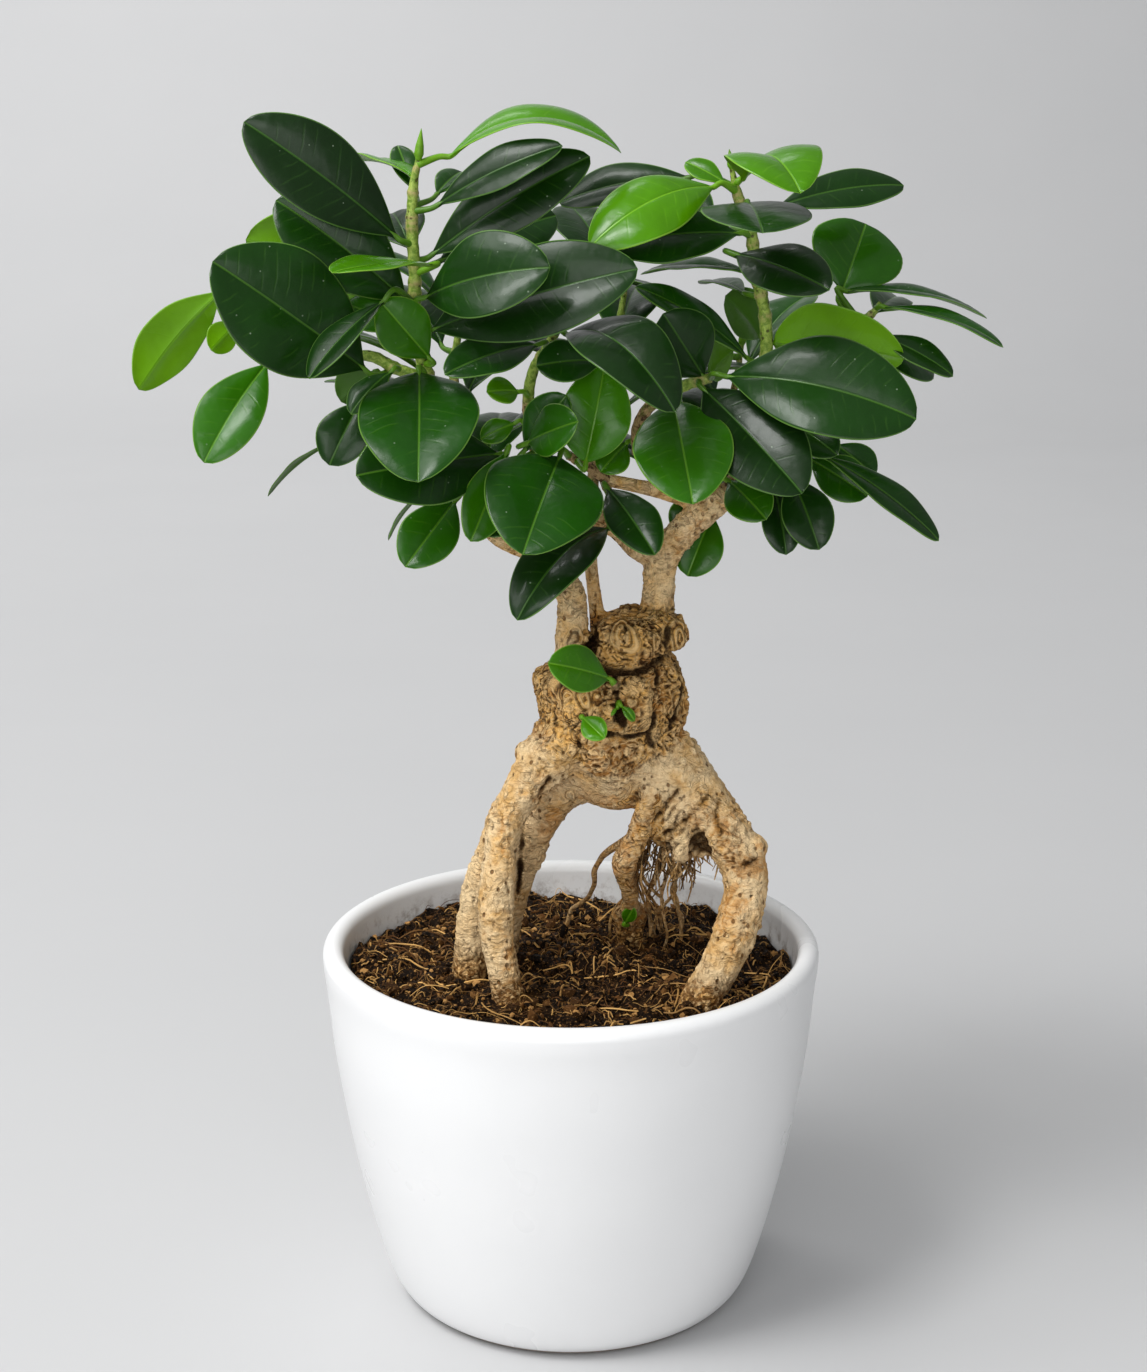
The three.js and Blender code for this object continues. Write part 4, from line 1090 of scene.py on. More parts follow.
# Roots, necks and branches, as points (x, y, z, radius)
ROOTS = {
    "front_leg": [
        (0, -4, 166, 9), (-6, -6, 159.5, 7.6), (-12.2, -9, 152.5, 5.6), (-17.3, -12.5, 143, 4.7),
        (-19.4, -16, 133, 4.8), (-20.4, -20, 122.5, 4.9), (-20.1, -22.5, 112, 4.6), (-18, -25, 101, 4.3),
        (-15.5, -27, 85, 4),
    ],
    "outer_leg": [
        (-16, -8.5, 148, 4), (-20.4, -7.5, 136, 4.4), (-24.8, -5.5, 123.5, 4.5), (-27, -4.5, 114, 4.6),
        (-28, -4, 104, 4.7), (-28.6, -4, 96, 4.9), (-28.8, -4, 85, 4.3),
    ],
    "back_leg": [
        (6, 3, 153, 8), (-3, 5, 147.5, 7.2), (-8.6, 7, 138.5, 6), (-13.6, 9, 126, 5.4),
        (-17, 10, 114, 5.1), (-19.2, 11, 102, 4.8), (-19.6, 11, 85, 4.2),
    ],
    "right_leg": [
        (20, 0, 160, 11), (30, -1, 151, 10), (39, -4, 141, 8), (46.2, -9, 133, 6.8),
        (48.6, -13, 124, 6), (45.7, -18, 114, 5.8), (40.2, -22, 103, 5.6), (35, -25, 94, 5.6),
        (31.5, -27, 84, 5),
    ],
    "central_root": [
        (22.6, -3, 154, 4.8), (22, -7.5, 148.8, 3.4), (20, -7.4, 141.5, 3), (18, -5.4, 135, 3.1),
        (15.4, -3, 128.5, 3.8), (15.2, 0, 123, 2.7), (17, 6, 116, 2.2), (17.2, 13, 110, 2.2),
        (17.2, 20, 104.5, 3.6), (17.2, 22, 94, 3.6), (17.2, 22, 84, 2.8),
    ],
}
THIN_ROOTS = [
    [(17.4, -5, 137, 1.6), (8.2, 8, 124.7, 1.2), (6.3, 15, 114.6, 1), (4.1, 22, 107.7, 0.9),
     (-0.3, 28, 101.8, 0.9), (-2.5, 30, 90, 0.8)],
    [(28, 6, 135, 1.4), (25, 12, 121, 0.9), (22.5, 17, 112, 0.8), (23, 22, 104, 0.8),
     (24, 25, 90, 0.8)],
    [(33, 4, 133, 1.3), (31, 10, 122, 0.9), (29.5, 15, 114, 0.8), (31.5, 20, 106, 0.8),
     (33, 23, 90, 0.8)],
]
NECKS = {
    "right_neck": [
        (20.5, 3, 189, 6), (23.3, 4, 197, 4.7), (24.1, 4, 205, 4.3), (25, 3.8, 212, 4.5),
        (28.5, 2, 219, 4.1), (37, -2, 228, 3.9), (42, -3, 232.5, 3.4),
    ],
    "left_neck": [
        (3, -1, 184, 6), (0.8, -2, 190, 5.2), (0.4, -2, 197, 4.1), (0, -2, 205, 3.9),
        (-3.5, -1, 211, 3.3), (-9, 0, 215, 2.7), (-15.5, 0, 217.3, 2.4), (-21, -1, 221, 2.3),
        (-25, -2.5, 228, 2.2), (-26.6, -3, 233, 2.2),
    ],
    "cross_branch": [
        (25, 4, 213, 3.4), (18.7, 5, 215, 2.9), (13.2, 6, 220, 2.7), (6, 5, 225, 2.6),
        (-1, 4, 229, 2.4),
    ],
    "thin_limb": [
        (8, 3, 192, 2.8), (7, 4, 199, 2.1), (6.1, 4, 206, 1.9), (5.4, 4.4, 214, 1.9), (6, 5, 225, 1.9),
    ],
    "centre_twig": [
        (38, -1, 227.5, 2.4), (31, 2.5, 229.8, 2.3), (24.5, 3, 231.8, 2.2), (17, 2, 233.6, 1.9),
        (9.8, 0.5, 235.3, 1.8),
    ],
}
# Knots, scars and stubs: place and three radii
LUMPS = [
    ((28.2, 0, 192.3), (4.4, 4.6, 4.8)),
    ((29, 0, 143.5), (11, 10, 12)),
    ((36, -1.5, 139.5), (9, 8.6, 9.6)),
    ((-10.8, -5.5, 160.5), (4.9, 4.8, 4)),
    ((50.7, -9.5, 134.2), (3.8, 4, 4)),
    ((10, -15.3, 174.5), (3.1, 2.6, 3.1)),
    ((30.4, -9, 134.5), (2.1, 2.3, 4.4)),
    ((17.2, 21.5, 103.5), (4.9, 4.6, 4.4)),
]


VOXEL = 0.59
SMOOTH_ROUNDS = 3
LIMB_SIDES = 22
LIMB_STEP = 1.6
BELLY_SIDES = 40
GROOVES = 7
GROOVE_DEPTH = 0.035
GROOVE_TURN = 0.12

# Old knots: x, y, z, radius, number of rings, and how far the middle stands out
KNOTS = [
    (14.4, -8.5, 194.5, 4.6, 2.6, 0.9),
    (29.2, -4.5, 193, 4.2, 2.6, 0.5),
    (23, -8.5, 192.5, 1.9, 1.4, 0.5),
    (0.6, -6, 193, 2.4, 1, 0.4),
    (8, -16.5, 179.3, 2.4, 1.6, 0.8),
    (16.5, -16.5, 177.5, 2.2, 1.6, 0.3),
    (-7, -10, 184, 2.4, 2, 0.4),
    (3.5, -15.8, 179, 3, 2, -0.4),
    (29.5, -7, 174.5, 3, 2, 0.2),
    (-11.5, -10, 162.5, 2.4, 0, 0.6),
    (-6, -12.5, 152.3, 1.3, 0, 0.6),
    (-20, -19.8, 137, 1.2, 0, 0.5),
    (-7, 2.6, 133.2, 2.4, 0, 0.9),
    (0, -3.5, 147, 1.8, 1.4, 0.6),
    (51.8, -13, 136.5, 2.4, 0, 0.5),
    (44, -16, 129, 1.6, 0, 0.5),
    (20, 18, 178, 5, 2.6, 0.5),
    (2, 17, 170, 4, 2.2, 0.4),
    (12, 15, 193, 4, 2.4, 0.5),
    (-9, 8, 176, 4, 2.2, 0.4),
    (31, 8, 172, 4, 2.2, 0.4),
]
# Where the bark has grown together, and one line of painted shade: how deep the groove is in mm, and the
# points it runs through.
# A groove below 0 is a pale ridge.
SEAMS = [
    (1.0, [(12, -12.5, 184), (12.5, -15.5, 179.5), (13, -16, 176), (14.5, -15.5, 171)]),
    (1.2, [(23, -8.5, 184.5), (24, -11.5, 180), (24, -12.5, 175.5), (22.5, -12.5, 171.5),
           (21, -13, 169), (17.5, -14, 168), (13, -15, 167.5), (9.5, -15, 168.5)]),
    (0.9, [(28.5, -2, 184.5), (30, -4, 180), (29.5, -6, 175.5), (28, -7, 171), (25, -9.5, 165.5),
           (23, -11, 164)]),
    (0.8, [(-1.5, -12, 179), (-1.5, -12.5, 175), (0.5, -12.5, 171), (2.5, -12.5, 164.5)]),
    (0.7, [(-4.5, -9.5, 172.5), (-4, -11, 170), (-1.5, -12, 169)]),
    (0.75, [(6, -8, 189.5), (8.5, -10.5, 186.6), (12.5, -11.8, 185.2), (17, -11.6, 185),
            (21, -9.8, 185.6), (24.5, -7, 187), (26.5, -4.5, 188.3)]),
    (0.6, [(7, -12.5, 183.2), (13, -13.6, 182.5), (20, -11.8, 183.2)]),
    (1.3, [(6.5, 1.5, 200), (6, 0, 195), (6.5, -2, 191.5), (4.5, -5.5, 190.5), (1, -7, 189.5)]),
    (0.7, [(24, -7, 195), (24.5, -7.5, 192), (23.5, -7.5, 189)]),
    (0.8, [(26.5, -4, 197), (26, -7, 193.5), (25.5, -6.5, 189.5)]),
    (-0.5, [(-6.5, -10, 169), (-3.5, -13, 166), (1, -12.5, 163.5), (4.5, -13, 163)]),
    (0.8, [(21, -13, 168.5), (22, -11.5, 164.5), (24.5, -10, 165.5), (27.5, -7.5, 168)]),
    (-0.6, [(-9, -12.5, 162), (-6, -13.5, 160), (-3.5, -11.5, 155), (-2.5, -7, 149.5)]),
    # Painted shade: a dark groove along the front leg's right edge, where it shades the back leg
    (1.1, [(-6, -13, 155.5), (-8, -12.5, 152.5), (-12, -11.5, 148), (-14, -11.5, 142), (-15, -13, 135),
           (-15.5, -15, 128)]),
    (0.7, [(23.5, -10, 149.5), (22.5, -9, 143.5), (22, -6, 137.5)]),
    (0.7, [(43, -7, 154), (40, -9, 151.5), (37, -10.5, 148.5), (31.5, -10, 142.5), (26, -8.5, 138)]),
    (0.7, [(29.5, -11, 151.5), (25.5, -9.5, 145.5), (23, -8.5, 142)]),
    (0.7, [(41, -9, 148), (40, -11.5, 144), (41.5, -13, 138)]),
    (0.7, [(42, -15, 133), (46, -17, 131.5), (51, -15, 133)]),
    (1.1, [(-6.5, 2, 150), (-10.7, 2.5, 144.2), (-12.5, 3, 138.3), (-13.4, 3.5, 132.4),
           (-14.1, 3.8, 126.4), (-14.4, 4, 120.5), (-14.9, 4.3, 114.5), (-15, 4.8, 108), (-15.4, 5, 102)]),
]
SEAM_WIDTH = 0.75
# Grooves at least this deep have a dark crack along their bottom
CRACKED = 0.8
FAR_FROM_KNOTS = (9, 0, 9)
# The hip is the torn swelling at the top of the right leg
HIP = (30, -3, 139)
HIP_SIZE = (12, 11, 10)
# Heights between which the belly begins and ends, its low part begins and ends, and mud covers the roots
BELLY_FROM = (146, 158)
BELLY_TO = (203, 198)
LOWER_FROM = (150, 154)
LOWER_TO = (171, 164)
SOILED = (107, 98)
WAIST_HEIGHT = 185.1
KNOT_SHAPE = (1, 1, 0.75)
PATCH_DEPTH = 3
THIN_SHARE = 0.75
THIN_SIDES = 9
THIN_STEP = 1.0
# Broad swellings: their size in mm, a salt for the noise, and their height on the belly, legs and necks
SWELLINGS = [(11, 1, 0.9, 0.5, 0.35), (5, 7, 0.8, 0.35, 0.45)]
# Patches of colour: x, y, z, width and height in mm, then how pale, how rusty and how dark they are
PATCHES = [
    (21, -13.5, 176, 1.3, 4.6, 1, 0, 0),
    (20, -13.5, 172, 1.6, 2.4, 0.9, 0, 0),
    (17, -14, 181.5, 3, 2.4, 0.75, 0, 0),
    (-4.5, -9, 181.5, 2.6, 2.4, 0.6, 0.6, 0),
    (-3, -11.5, 176, 1.8, 4.5, 0.2, 0.9, 0),
    (6.3, -15.8, 174.3, 1.8, 1.5, 1, 0, 0),
    (8.6, -16.5, 172.3, 1.6, 1.3, 1, 0, 0),
    (10.5, -6, 193.3, 1.8, 1.6, 0.9, 0.2, 0),
    (9, -2, 197.2, 3.2, 2, 0.2, 1, 0),
    (15, -8.5, 195.5, 0.8, 1, 0, 0, 1),
    (14.6, -9, 192.6, 0.7, 0.7, 0, 0, 1),
    (8, -17.5, 179.3, 0.5, 0.5, 0, 0.4, 1),
    (13.5, -16, 174.2, 2.4, 2.2, 0, 0, 0.9),
    (23, -11.5, 168, 1.7, 1.5, 0.9, 0, 0),
    (22.5, -11.5, 165.5, 1.2, 1.2, 0.9, 0, 0),
    (14.5, -15, 168.7, 1.2, 0.9, 1, 0, 0),
    (6, -6, 148, 7, 2.4, 0, 1, 0),
    (-5, 2, 141, 2.4, 7, 0, 1, 0),
    (-10, 4, 128, 2, 12, 0, 0.8, 0),
    (44, -20, 115, 2.6, 14, 0, 0.7, 0),
    (52, -12, 126, 2.6, 12, 0, 0.7, 0),
    (-17, -26, 104, 2.4, 12, 0, 0.6, 0),
    (19, -6, 149.5, 3, 3, 0, 0.5, 0.5),
    # Painted shade: dark patches under the hip
    (36.5, -9, 135, 3.4, 4.5, 0, 0.3, 1),
    (27, -6, 132.5, 2.2, 2.4, 0, 0.2, 1),
    (30.6, -11, 134.5, 1.5, 3.6, 1, 0, 0),
    (48, -16, 131, 5, 3, 0, 1, 0.2),
    (41.5, -13, 140, 2.4, 5, 0, 0.9, 0.1),
    (45, -19, 122, 4, 6, 0, 0.6, 0),
    (16, -5, 134, 2.6, 7, 0.1, 0.6, 0),
    (20, -3, 132, 1.6, 7, 0, 0.4, 0.7),
    # Painted light: a pale patch on the outer leg, which lies in shade
    (-27, -7, 112, 6, 20, 0.6, 0, 0),
    (14.5, -3, 127, 4, 3, 0, 1, 0),
    (-8, 3, 136, 2.4, 6, 0, 0.6, 0),
    # Painted light: a pale patch on the back leg, in the front leg's shade
    (-11, 4, 128, 4, 16, 0.85, 0, 0),
    # Painted light: pale patches on the arch and on both necks, which lie in shade
    (2, -8, 150, 9, 4, 0.4, 0.4, 0),
    (1, -2, 206, 4, 12, 0.4, 0.2, 0),
    (25, 0, 207, 4, 10, 0.4, 0.2, 0),
    (-10, -7, 150, 3.5, 5, 0.35, 0.3, 0),
    (-15, -11, 150, 2.4, 3, 0, 0.6, 0),
    (6.5, -4, 190.5, 1.6, 5, 0, 0, 1),
    (15.5, -11.5, 185.1, 7, 0.8, 0, 0, 0.8),
]

LIMBS = [*ROOTS.values(), *NECKS.values()]
BALL_RINGS = 14
BALL_SIDES = 20
LIMB_SAMPLE = 0.9
BATCH = 8000
FAR = 9.0


def ball(at, size):
    turns = np.linspace(0, math.pi, BALL_RINGS + 2)[1:-1, None]
    points, faces = ringed(level_rings(np.sin(turns), np.sin(turns), -np.cos(turns), BALL_SIDES))
    points[0] = (0, 0, -1)
    points[-1] = (0, 0, 1)
    return points * size + at, faces


def belly_at(heights):
    """Centre and half widths of the belly at heights, smooth between the rings."""
    table = np.array(BELLY, float)
    return [np.interp(heights, table[:, 0], table[:, k]) for k in range(1, 5)]


def rough_trunk():
    body = Mesh()
    heights = np.arange(BELLY[0][0], BELLY[-1][0], 1.0)[:, None]
    x, y, wide, deep = belly_at(heights)
    groove = 1 + GROOVE_DEPTH * np.cos(GROOVES * around(BELLY_SIDES) + heights * GROOVE_TURN)
    body.add(*ringed(level_rings(wide * groove, deep * groove, heights, BELLY_SIDES, (x, y))))
    for points in LIMBS:
        body.add(*tube(points, LIMB_SIDES, LIMB_STEP)[:2])
    for at, size in LUMPS:
        body.add(*ball(at, size))
    return body.piece("rough_trunk", [])


def remeshed(rough):
    """One closed skin round everything in the rough body. Returns its points and its faces of four."""
    change = rough.modifiers.new("skin", "REMESH")
    change.mode = "VOXEL"
    change.voxel_size = VOXEL * MM
    shown = rough.evaluated_get(bpy.context.evaluated_depsgraph_get())
    skin = shown.to_mesh()
    points = np.zeros(len(skin.vertices) * 3)
    skin.vertices.foreach_get("co", points)
    corners = np.zeros(len(skin.loops), np.int64)
    skin.loops.foreach_get("vertex_index", corners)
    shown.to_mesh_clear()
    mesh = rough.data
    bpy.data.objects.remove(rough)
    bpy.data.meshes.remove(mesh)
    return points.reshape(-1, 3) / MM, corners.reshape(-1, 4)


def relaxed(points, quads, rounds):
    """The points, each moved half way to the middle of its neighbours, a few times."""
    edges = np.vstack([quads[:, [k, (k + 1) % 4]] for k in range(4)])
    degree = np.bincount(edges.ravel(), minlength=len(points))[:, None]
    for _ in range(rounds):
        total = np.zeros_like(points)
        for axis in range(3):
            total[:, axis] = np.bincount(edges[:, 0], points[edges[:, 1], axis], len(points))
            total[:, axis] += np.bincount(edges[:, 1], points[edges[:, 0], axis], len(points))
        points = points + 0.5 * (total / degree - points)
    return points


def normals_of(points, quads):
    cross = np.cross(points[quads[:, 2]] - points[quads[:, 0]], points[quads[:, 3]] - points[quads[:, 1]])
    total = np.zeros_like(points)
    for axis in range(3):
        for k in range(4):
            total[:, axis] += np.bincount(quads[:, k], cross[:, axis], len(points))
    return unit(total)


def nearest_limb(points):
    """How far along its limb each point is in mm, its angle round it, and the limb's radius and number."""
    samples = []
    for number, marks in enumerate(LIMBS):
        long = path_length(marks)
        shares = np.linspace(0, 1, max(8, round(long / LIMB_SAMPLE)))
        centres, along = path_at(marks, shares)
        limb = np.column_stack([shares * long, np.full(len(shares), number)])
        samples.append(np.column_stack([centres, radius_at(marks, shares), along, framed(along), limb]))
    samples = np.vstack(samples)
    centres = samples[:, :3]
    nearest = np.zeros(len(points), int)
    for start in range(0, len(points), BATCH):
        part = points[start:start + BATCH]
        squares = (part**2).sum(1)[:, None] + (centres**2).sum(1) - 2 * part @ centres.T
        nearest[start:start + BATCH] = (np.sqrt(np.maximum(squares, 0)) - samples[:, 3]).argmin(1)
    found = samples[nearest]
    apart = points - found[:, :3]
    along = found[:, 4:7]
    across = found[:, 7:10]
    angle = np.arctan2((apart * np.cross(along, across)).sum(1), (apart * across).sum(1))
    return found[:, 10], angle, found[:, 3], found[:, 11].astype(int)


def far_from_line(points, line):
    """How far in mm each point is from a line through given places."""
    marks = path_at(line, np.linspace(0, 1, 6 * (len(line) - 1) + 1))[0]
    nearest = np.full(len(points), np.inf)
    for start, end in zip(marks[:-1], marks[1:]):
        span = end - start
        share = np.clip(((points - start) @ span) / span.dot(span), 0, 1)
        nearest = np.minimum(nearest, np.linalg.norm(points - start - share[:, None] * span, axis=1))
    return nearest


def seamed(points, warp):
    """How deep the grooves are, how high the pale ridges are, and how far the next crack is."""
    groove = np.zeros(len(points))
    ridge = np.zeros(len(points))
    apart = np.full(len(points), FAR)
    for deep, line in SEAMS:
        far = far_from_line(points, line) + 0.45 * warp
        cut = np.exp(-((far / SEAM_WIDTH) ** 2)) * abs(deep)
        if deep > 0:
            groove = np.maximum(groove, cut)
        if deep >= CRACKED:
            apart = np.minimum(apart, far)
        if deep < 0:
            ridge = np.maximum(ridge, cut)
    return groove, ridge, apart


def knotted(points, warp):
    """The relief of the knots, how close one is, its share of the way out, and the number of its rings."""
    relief = np.zeros(len(points))
    close = np.zeros(len(points))
    out = np.full(len(points), FAR)
    rings = np.zeros(len(points))
    for number, (*middle, size, count, dome) in enumerate(KNOTS):
        apart = (points - middle) * KNOT_SHAPE
        turn = np.arctan2(apart[:, 2], apart[:, 0])
        wobble = 1 + 0.16 * np.sin(2 * turn + number) + 0.1 * np.sin(3 * turn + 2 * number)
        far = np.linalg.norm(apart, axis=1) * wobble + 0.4 * warp
        inside = smooth(size * 1.15, size * 0.7, far)
        relief += inside * dome * np.maximum(1 - (far / size) ** 2, -0.3)
        close = np.maximum(close, inside)
        rings = np.where(far / size < out, count, rings)
        out = np.minimum(out, far / size)
    return relief, close, out, rings


def patched(points, warp):
    """How pale, how rust-coloured and how dark the patches make each point; some pale ones are painted light
    and some dark ones painted shade.
    """
    found = np.zeros((3, len(points)))
    for x, y, z, wide, tall, *shares in PATCHES:
        apart = (points - (x, y, z)) / (wide, max(wide, PATCH_DEPTH), tall)
        inside = smooth(1.25, 0.75, np.linalg.norm(apart, axis=1) + 0.35 * warp)
        for kind, share in enumerate(shares):
            found[kind] = np.maximum(found[kind], share * inside)
    return found


def zones_of(points):
    """Shares from 0 to 1 that say what each point belongs to, and where it is on its limb."""
    high = points[:, 2]
    x, y, wide, deep = belly_at(high)
    reach = np.hypot((points[:, 0] - x) / (wide + 1), (points[:, 1] - y) / (deep + 1))
    belly = smooth(1.5, 1.08, reach) * smooth(*BELLY_FROM, high) * smooth(*BELLY_TO, high)
    walked, angle, radius, limb = nearest_limb(points)
    is_root = limb < len(ROOTS)
    gnarled = (limb == list(ROOTS).index("central_root")) * (1 - belly)
    # The brown hide ends higher at the sides than in the middle
    hide_edge = 163 - 11 * np.exp(-(((points[:, 0] - 13) / 9) ** 2))
    return SimpleNamespace(
        belly=belly,
        legs=(1 - belly) * is_root,
        necks=(1 - belly) * ~is_root,
        gnarled=gnarled,
        thin=np.maximum(smooth(1.6, 4.2, radius), 0.6 * gnarled),
        hide=belly * smooth(hide_edge - 4, hide_edge + 4, high + 3 * noise(points, 6, 95)),
        hip=np.exp(-((np.linalg.norm((points - HIP) / HIP_SIZE, axis=1)) ** 4)),
        walked=walked,
        angle=angle,
        radius=radius,
        limb=limb,
    )


def swollen(points, zone):
    """How high the broad swellings are."""
    total = 0
    for size, salt, belly, legs, necks in SWELLINGS:
        high = belly * zone.belly + (legs * zone.legs + necks * zone.necks) * zone.thin
        total = total + high * layered(points, size, salt, 2)
    return total


def belly_marks(points, zone, warp, close):
    """Curly growth lines, pale bumps, how low on the belly, the waist, and the wrinkles in it."""
    high = points[:, 2]
    # Contour lines of a slow noise
    slow = layered(points * (1, 1, 1.25), 7, 31, 2)
    curls = np.cos(2 * math.pi * (4.8 * slow + 0.6 * warp))
    curls = curls * (0.4 + 0.6 * smooth(-0.3, 0.4, noise(points, 5, 35))) * (1 - 0.8 * close)
    # Almond-shaped bumps, most of them low on the belly
    lower = smooth(*LOWER_FROM, high) * smooth(*LOWER_TO, high) * zone.belly
    far, spot = cells_near(points * (1, 1, 0.7), 2.5, 41)
    almond = smooth(0.45, 0.25, far) * (spot > 0.5)
    almond *= np.clip(0.3 * zone.belly + lower, 0, 1) * (1 - 0.7 * close)
    waist_height = WAIST_HEIGHT + 3 * np.minimum(((points[:, 0] - 15.5) / 11) ** 2, 1)
    waist = np.exp(-(((high - waist_height) / 1.3) ** 2)) * zone.belly
    return curls, almond, lower, waist, np.sin(high * 4.4 + 3 * warp) * waist


def root_marks(points, zone):
    """Bands across the roots, raised spots, dark pits, how scaly the bark is, flakes, and long flutes."""
    walked, angle = zone.walked, zone.angle
    bands = np.sin(walked * 2.9 + 3.0 * noise(points, 4, 51) + 1.1 * np.sin(angle + walked * 0.1))
    bands = bands * (0.25 + 0.75 * smooth(-0.2, 0.6, noise(points, 8, 55)))
    unrolled = np.column_stack([walked * 0.6, angle * zone.radius, zone.limb * 40.0])
    far, spot = cells_near(unrolled, 1.9, 61)
    raised = smooth(0.42, 0.18, far) * (spot > 0.6) * (1 - zone.belly)
    pits = smooth(0.34, 0.14, far) * (spot < 0.2) * (1 - zone.belly)
    scaly = smooth(0.12, 0.5, noise(points, 9, 75)) * (1 - 0.6 * zone.belly)
    scaly = np.maximum(scaly, 0.7 * zone.gnarled)
    flakes = (layered(points, 1.9, 71, 2) + 0.15) * np.maximum(scaly, 0.9 * zone.hip)
    ridges = np.abs(np.sin(angle * 2.5 + 0.05 * walked + noise(points, 12, 79)))
    return bands, raised, pits, scaly, flakes, smooth(0.25, 0, ridges) * zone.legs * zone.thin


def torn_bark(points, hip):
    """Fibres of torn bark on the hip, which run down and to the left."""
    torn = np.sin(2.1 * points[:, 0] - 1.5 * points[:, 2] + 4.5 * layered(points, 5, 85, 2)) * hip
    return torn * (0.35 + 0.65 * smooth(-0.3, 0.5, noise(points, 4, 87)))


def trunk_piece():
    points, quads = remeshed(rough_trunk())
    points = relaxed(points, quads, SMOOTH_ROUNDS)
    zone = zones_of(points)
    belly, legs, necks, thin, hip = zone.belly, zone.legs, zone.necks, zone.thin, zone.hip
    points = points + normals_of(points, quads) * swollen(points, zone)[:, None]

    warp = noise(points, 3.2, 21)
    relief, close, knot_out, knot_rings = knotted(points, warp)
    groove, ridge, seam = seamed(points, warp)
    pale_and_painted_light_patch, rust_patch, dark_and_shade_patch = patched(points, warp)
    curls, almond, lower, waist, wrinkle = belly_marks(points, zone, warp, close)
    bands, raised, pits, scaly, flakes, flutes = root_marks(points, zone)
    torn = torn_bark(points, hip)
    rough = 1 - 2 * np.abs(layered(points, 2.4, 81, 2))

    # How high each mark stands in mm, and where
    relief += 0.45 * almond - groove + ridge + 0.3 * wrinkle - 0.8 * waist
    relief += (0.42 * zone.hide + 0.06 * legs + 0.14 * necks) * curls * thin
    relief += (0.17 * legs + 0.14 * necks) * bands * thin
    relief += (0.26 * raised - 0.36 * pits + flakes) * thin - 0.25 * flutes
    relief += 0.46 * torn + (0.12 + 0.3 * belly + 0.45 * hip) * rough * thin
    relief -= 0.9 * dark_and_shade_patch * (1 - hip) + 2.2 * dark_and_shade_patch * hip - 0.3 * pale_and_painted_light_patch
    normals = normals_of(relaxed(points, quads, 2), quads)
    points = points + normals * relief[:, None]

    # What the colours are mixed from
    hollow = ((points - relaxed(points, quads, 4)) * normals).sum(1)
    soiled = smooth(*SOILED, points[:, 2] + 3 * noise(points, 6, 91))
    # Painted shade: how much a surface faces down, which adds rust colour on the legs' undersides
    under = smooth(0.25, -0.6, normals[:, 2] - 0.3 * normals[:, 1])
    # Pale: almonds, ridges, pale patches (partly painted light on shaded legs, arch and necks), raised spots
    # and torn fibres
    light = 0.8 * almond + ridge + pale_and_painted_light_patch + 0.3 * raised + 0.95 * smooth(0.05, 0.5, torn)
    brown = 0.9 * zone.hide + 0.1 * belly - 0.3 * lower + 0.3 * necks + 0.3 * hip + 0.5 * soiled
    brown = np.clip(brown + 0.3 * scaly * legs + 0.3 * zone.gnarled + groove, 0, 1)
    dark = 0.7 * groove + 0.6 * waist + 0.4 * pits + dark_and_shade_patch + 0.85 * smooth(0.1, 0.6, -torn)
    # Painted shade: darker in the hollows of the skin, more so on the belly
    dark = dark + smooth(0.04, 0.26, -hollow) * (0.6 + 0.4 * belly)
    # Rust: patches, scaly bark and soil, with painted shade on the legs' undersides
    rust_and_under_shade = rust_patch + 0.1 * under * legs + 0.4 * scaly * (1 - belly) + 0.25 * soiled
    rust_and_under_shade = rust_and_under_shade * (1 - 0.5 * pale_and_painted_light_patch)
    # Painted highlight: the more convex the skin, the paler it is painted
    crest = smooth(0.03, 0.26, hollow)

    mesh = Mesh("bark", "zone", "knot")
    mesh.add(
        points, quads,
        bark=np.column_stack([np.clip(light, 0, 1), brown, np.clip(dark, 0, 1)]),
        zone=np.column_stack([np.clip(rust_and_under_shade, 0, 1), soiled, crest]),
        knot=np.column_stack([knot_out, knot_rings, seam]),
    )
    for marks in THIN_ROOTS:
        slim = [(*place, THIN_SHARE * radius) for *place, radius in marks]
        made, faces, _ = tube(slim, THIN_SIDES, THIN_STEP)
        made += shaken(made, 5, 100, 0.45)
        mesh.add(made, faces, bark=(0.1, 0.55, 0.1), zone=(0.5, 0.1, 0.2), knot=FAR_FROM_KNOTS)
    return mesh.piece("trunk_bark", [bark_material()])


# Roots too fine for the trunk: long hairs that hang from the hip, most of them behind it, and lie towards
# the soil, torn bits under the hip, and short dark rootlets behind the central root. A place is drawn
# between two limits on each axis.
HAIR_TOP = ((16, 36), (-2, 7), (131, 136))
HAIR_FOOT = ((8, 34), (14, 31))
HAIR_END = 94.5
HAIR_CURL = 3.4
HAIR_POINTS = 9
# The share of the long hairs that reach the soil
REACHING = 0.65
BIT_TOP = ((24, 43), (-8, 6), (129.5, 132.5))
ROOTLET_TOP = ((18, 35), (-4, 6), (126, 135))


def place_in(draw, limits):
    return np.array([between(draw, *pair) for pair in limits])


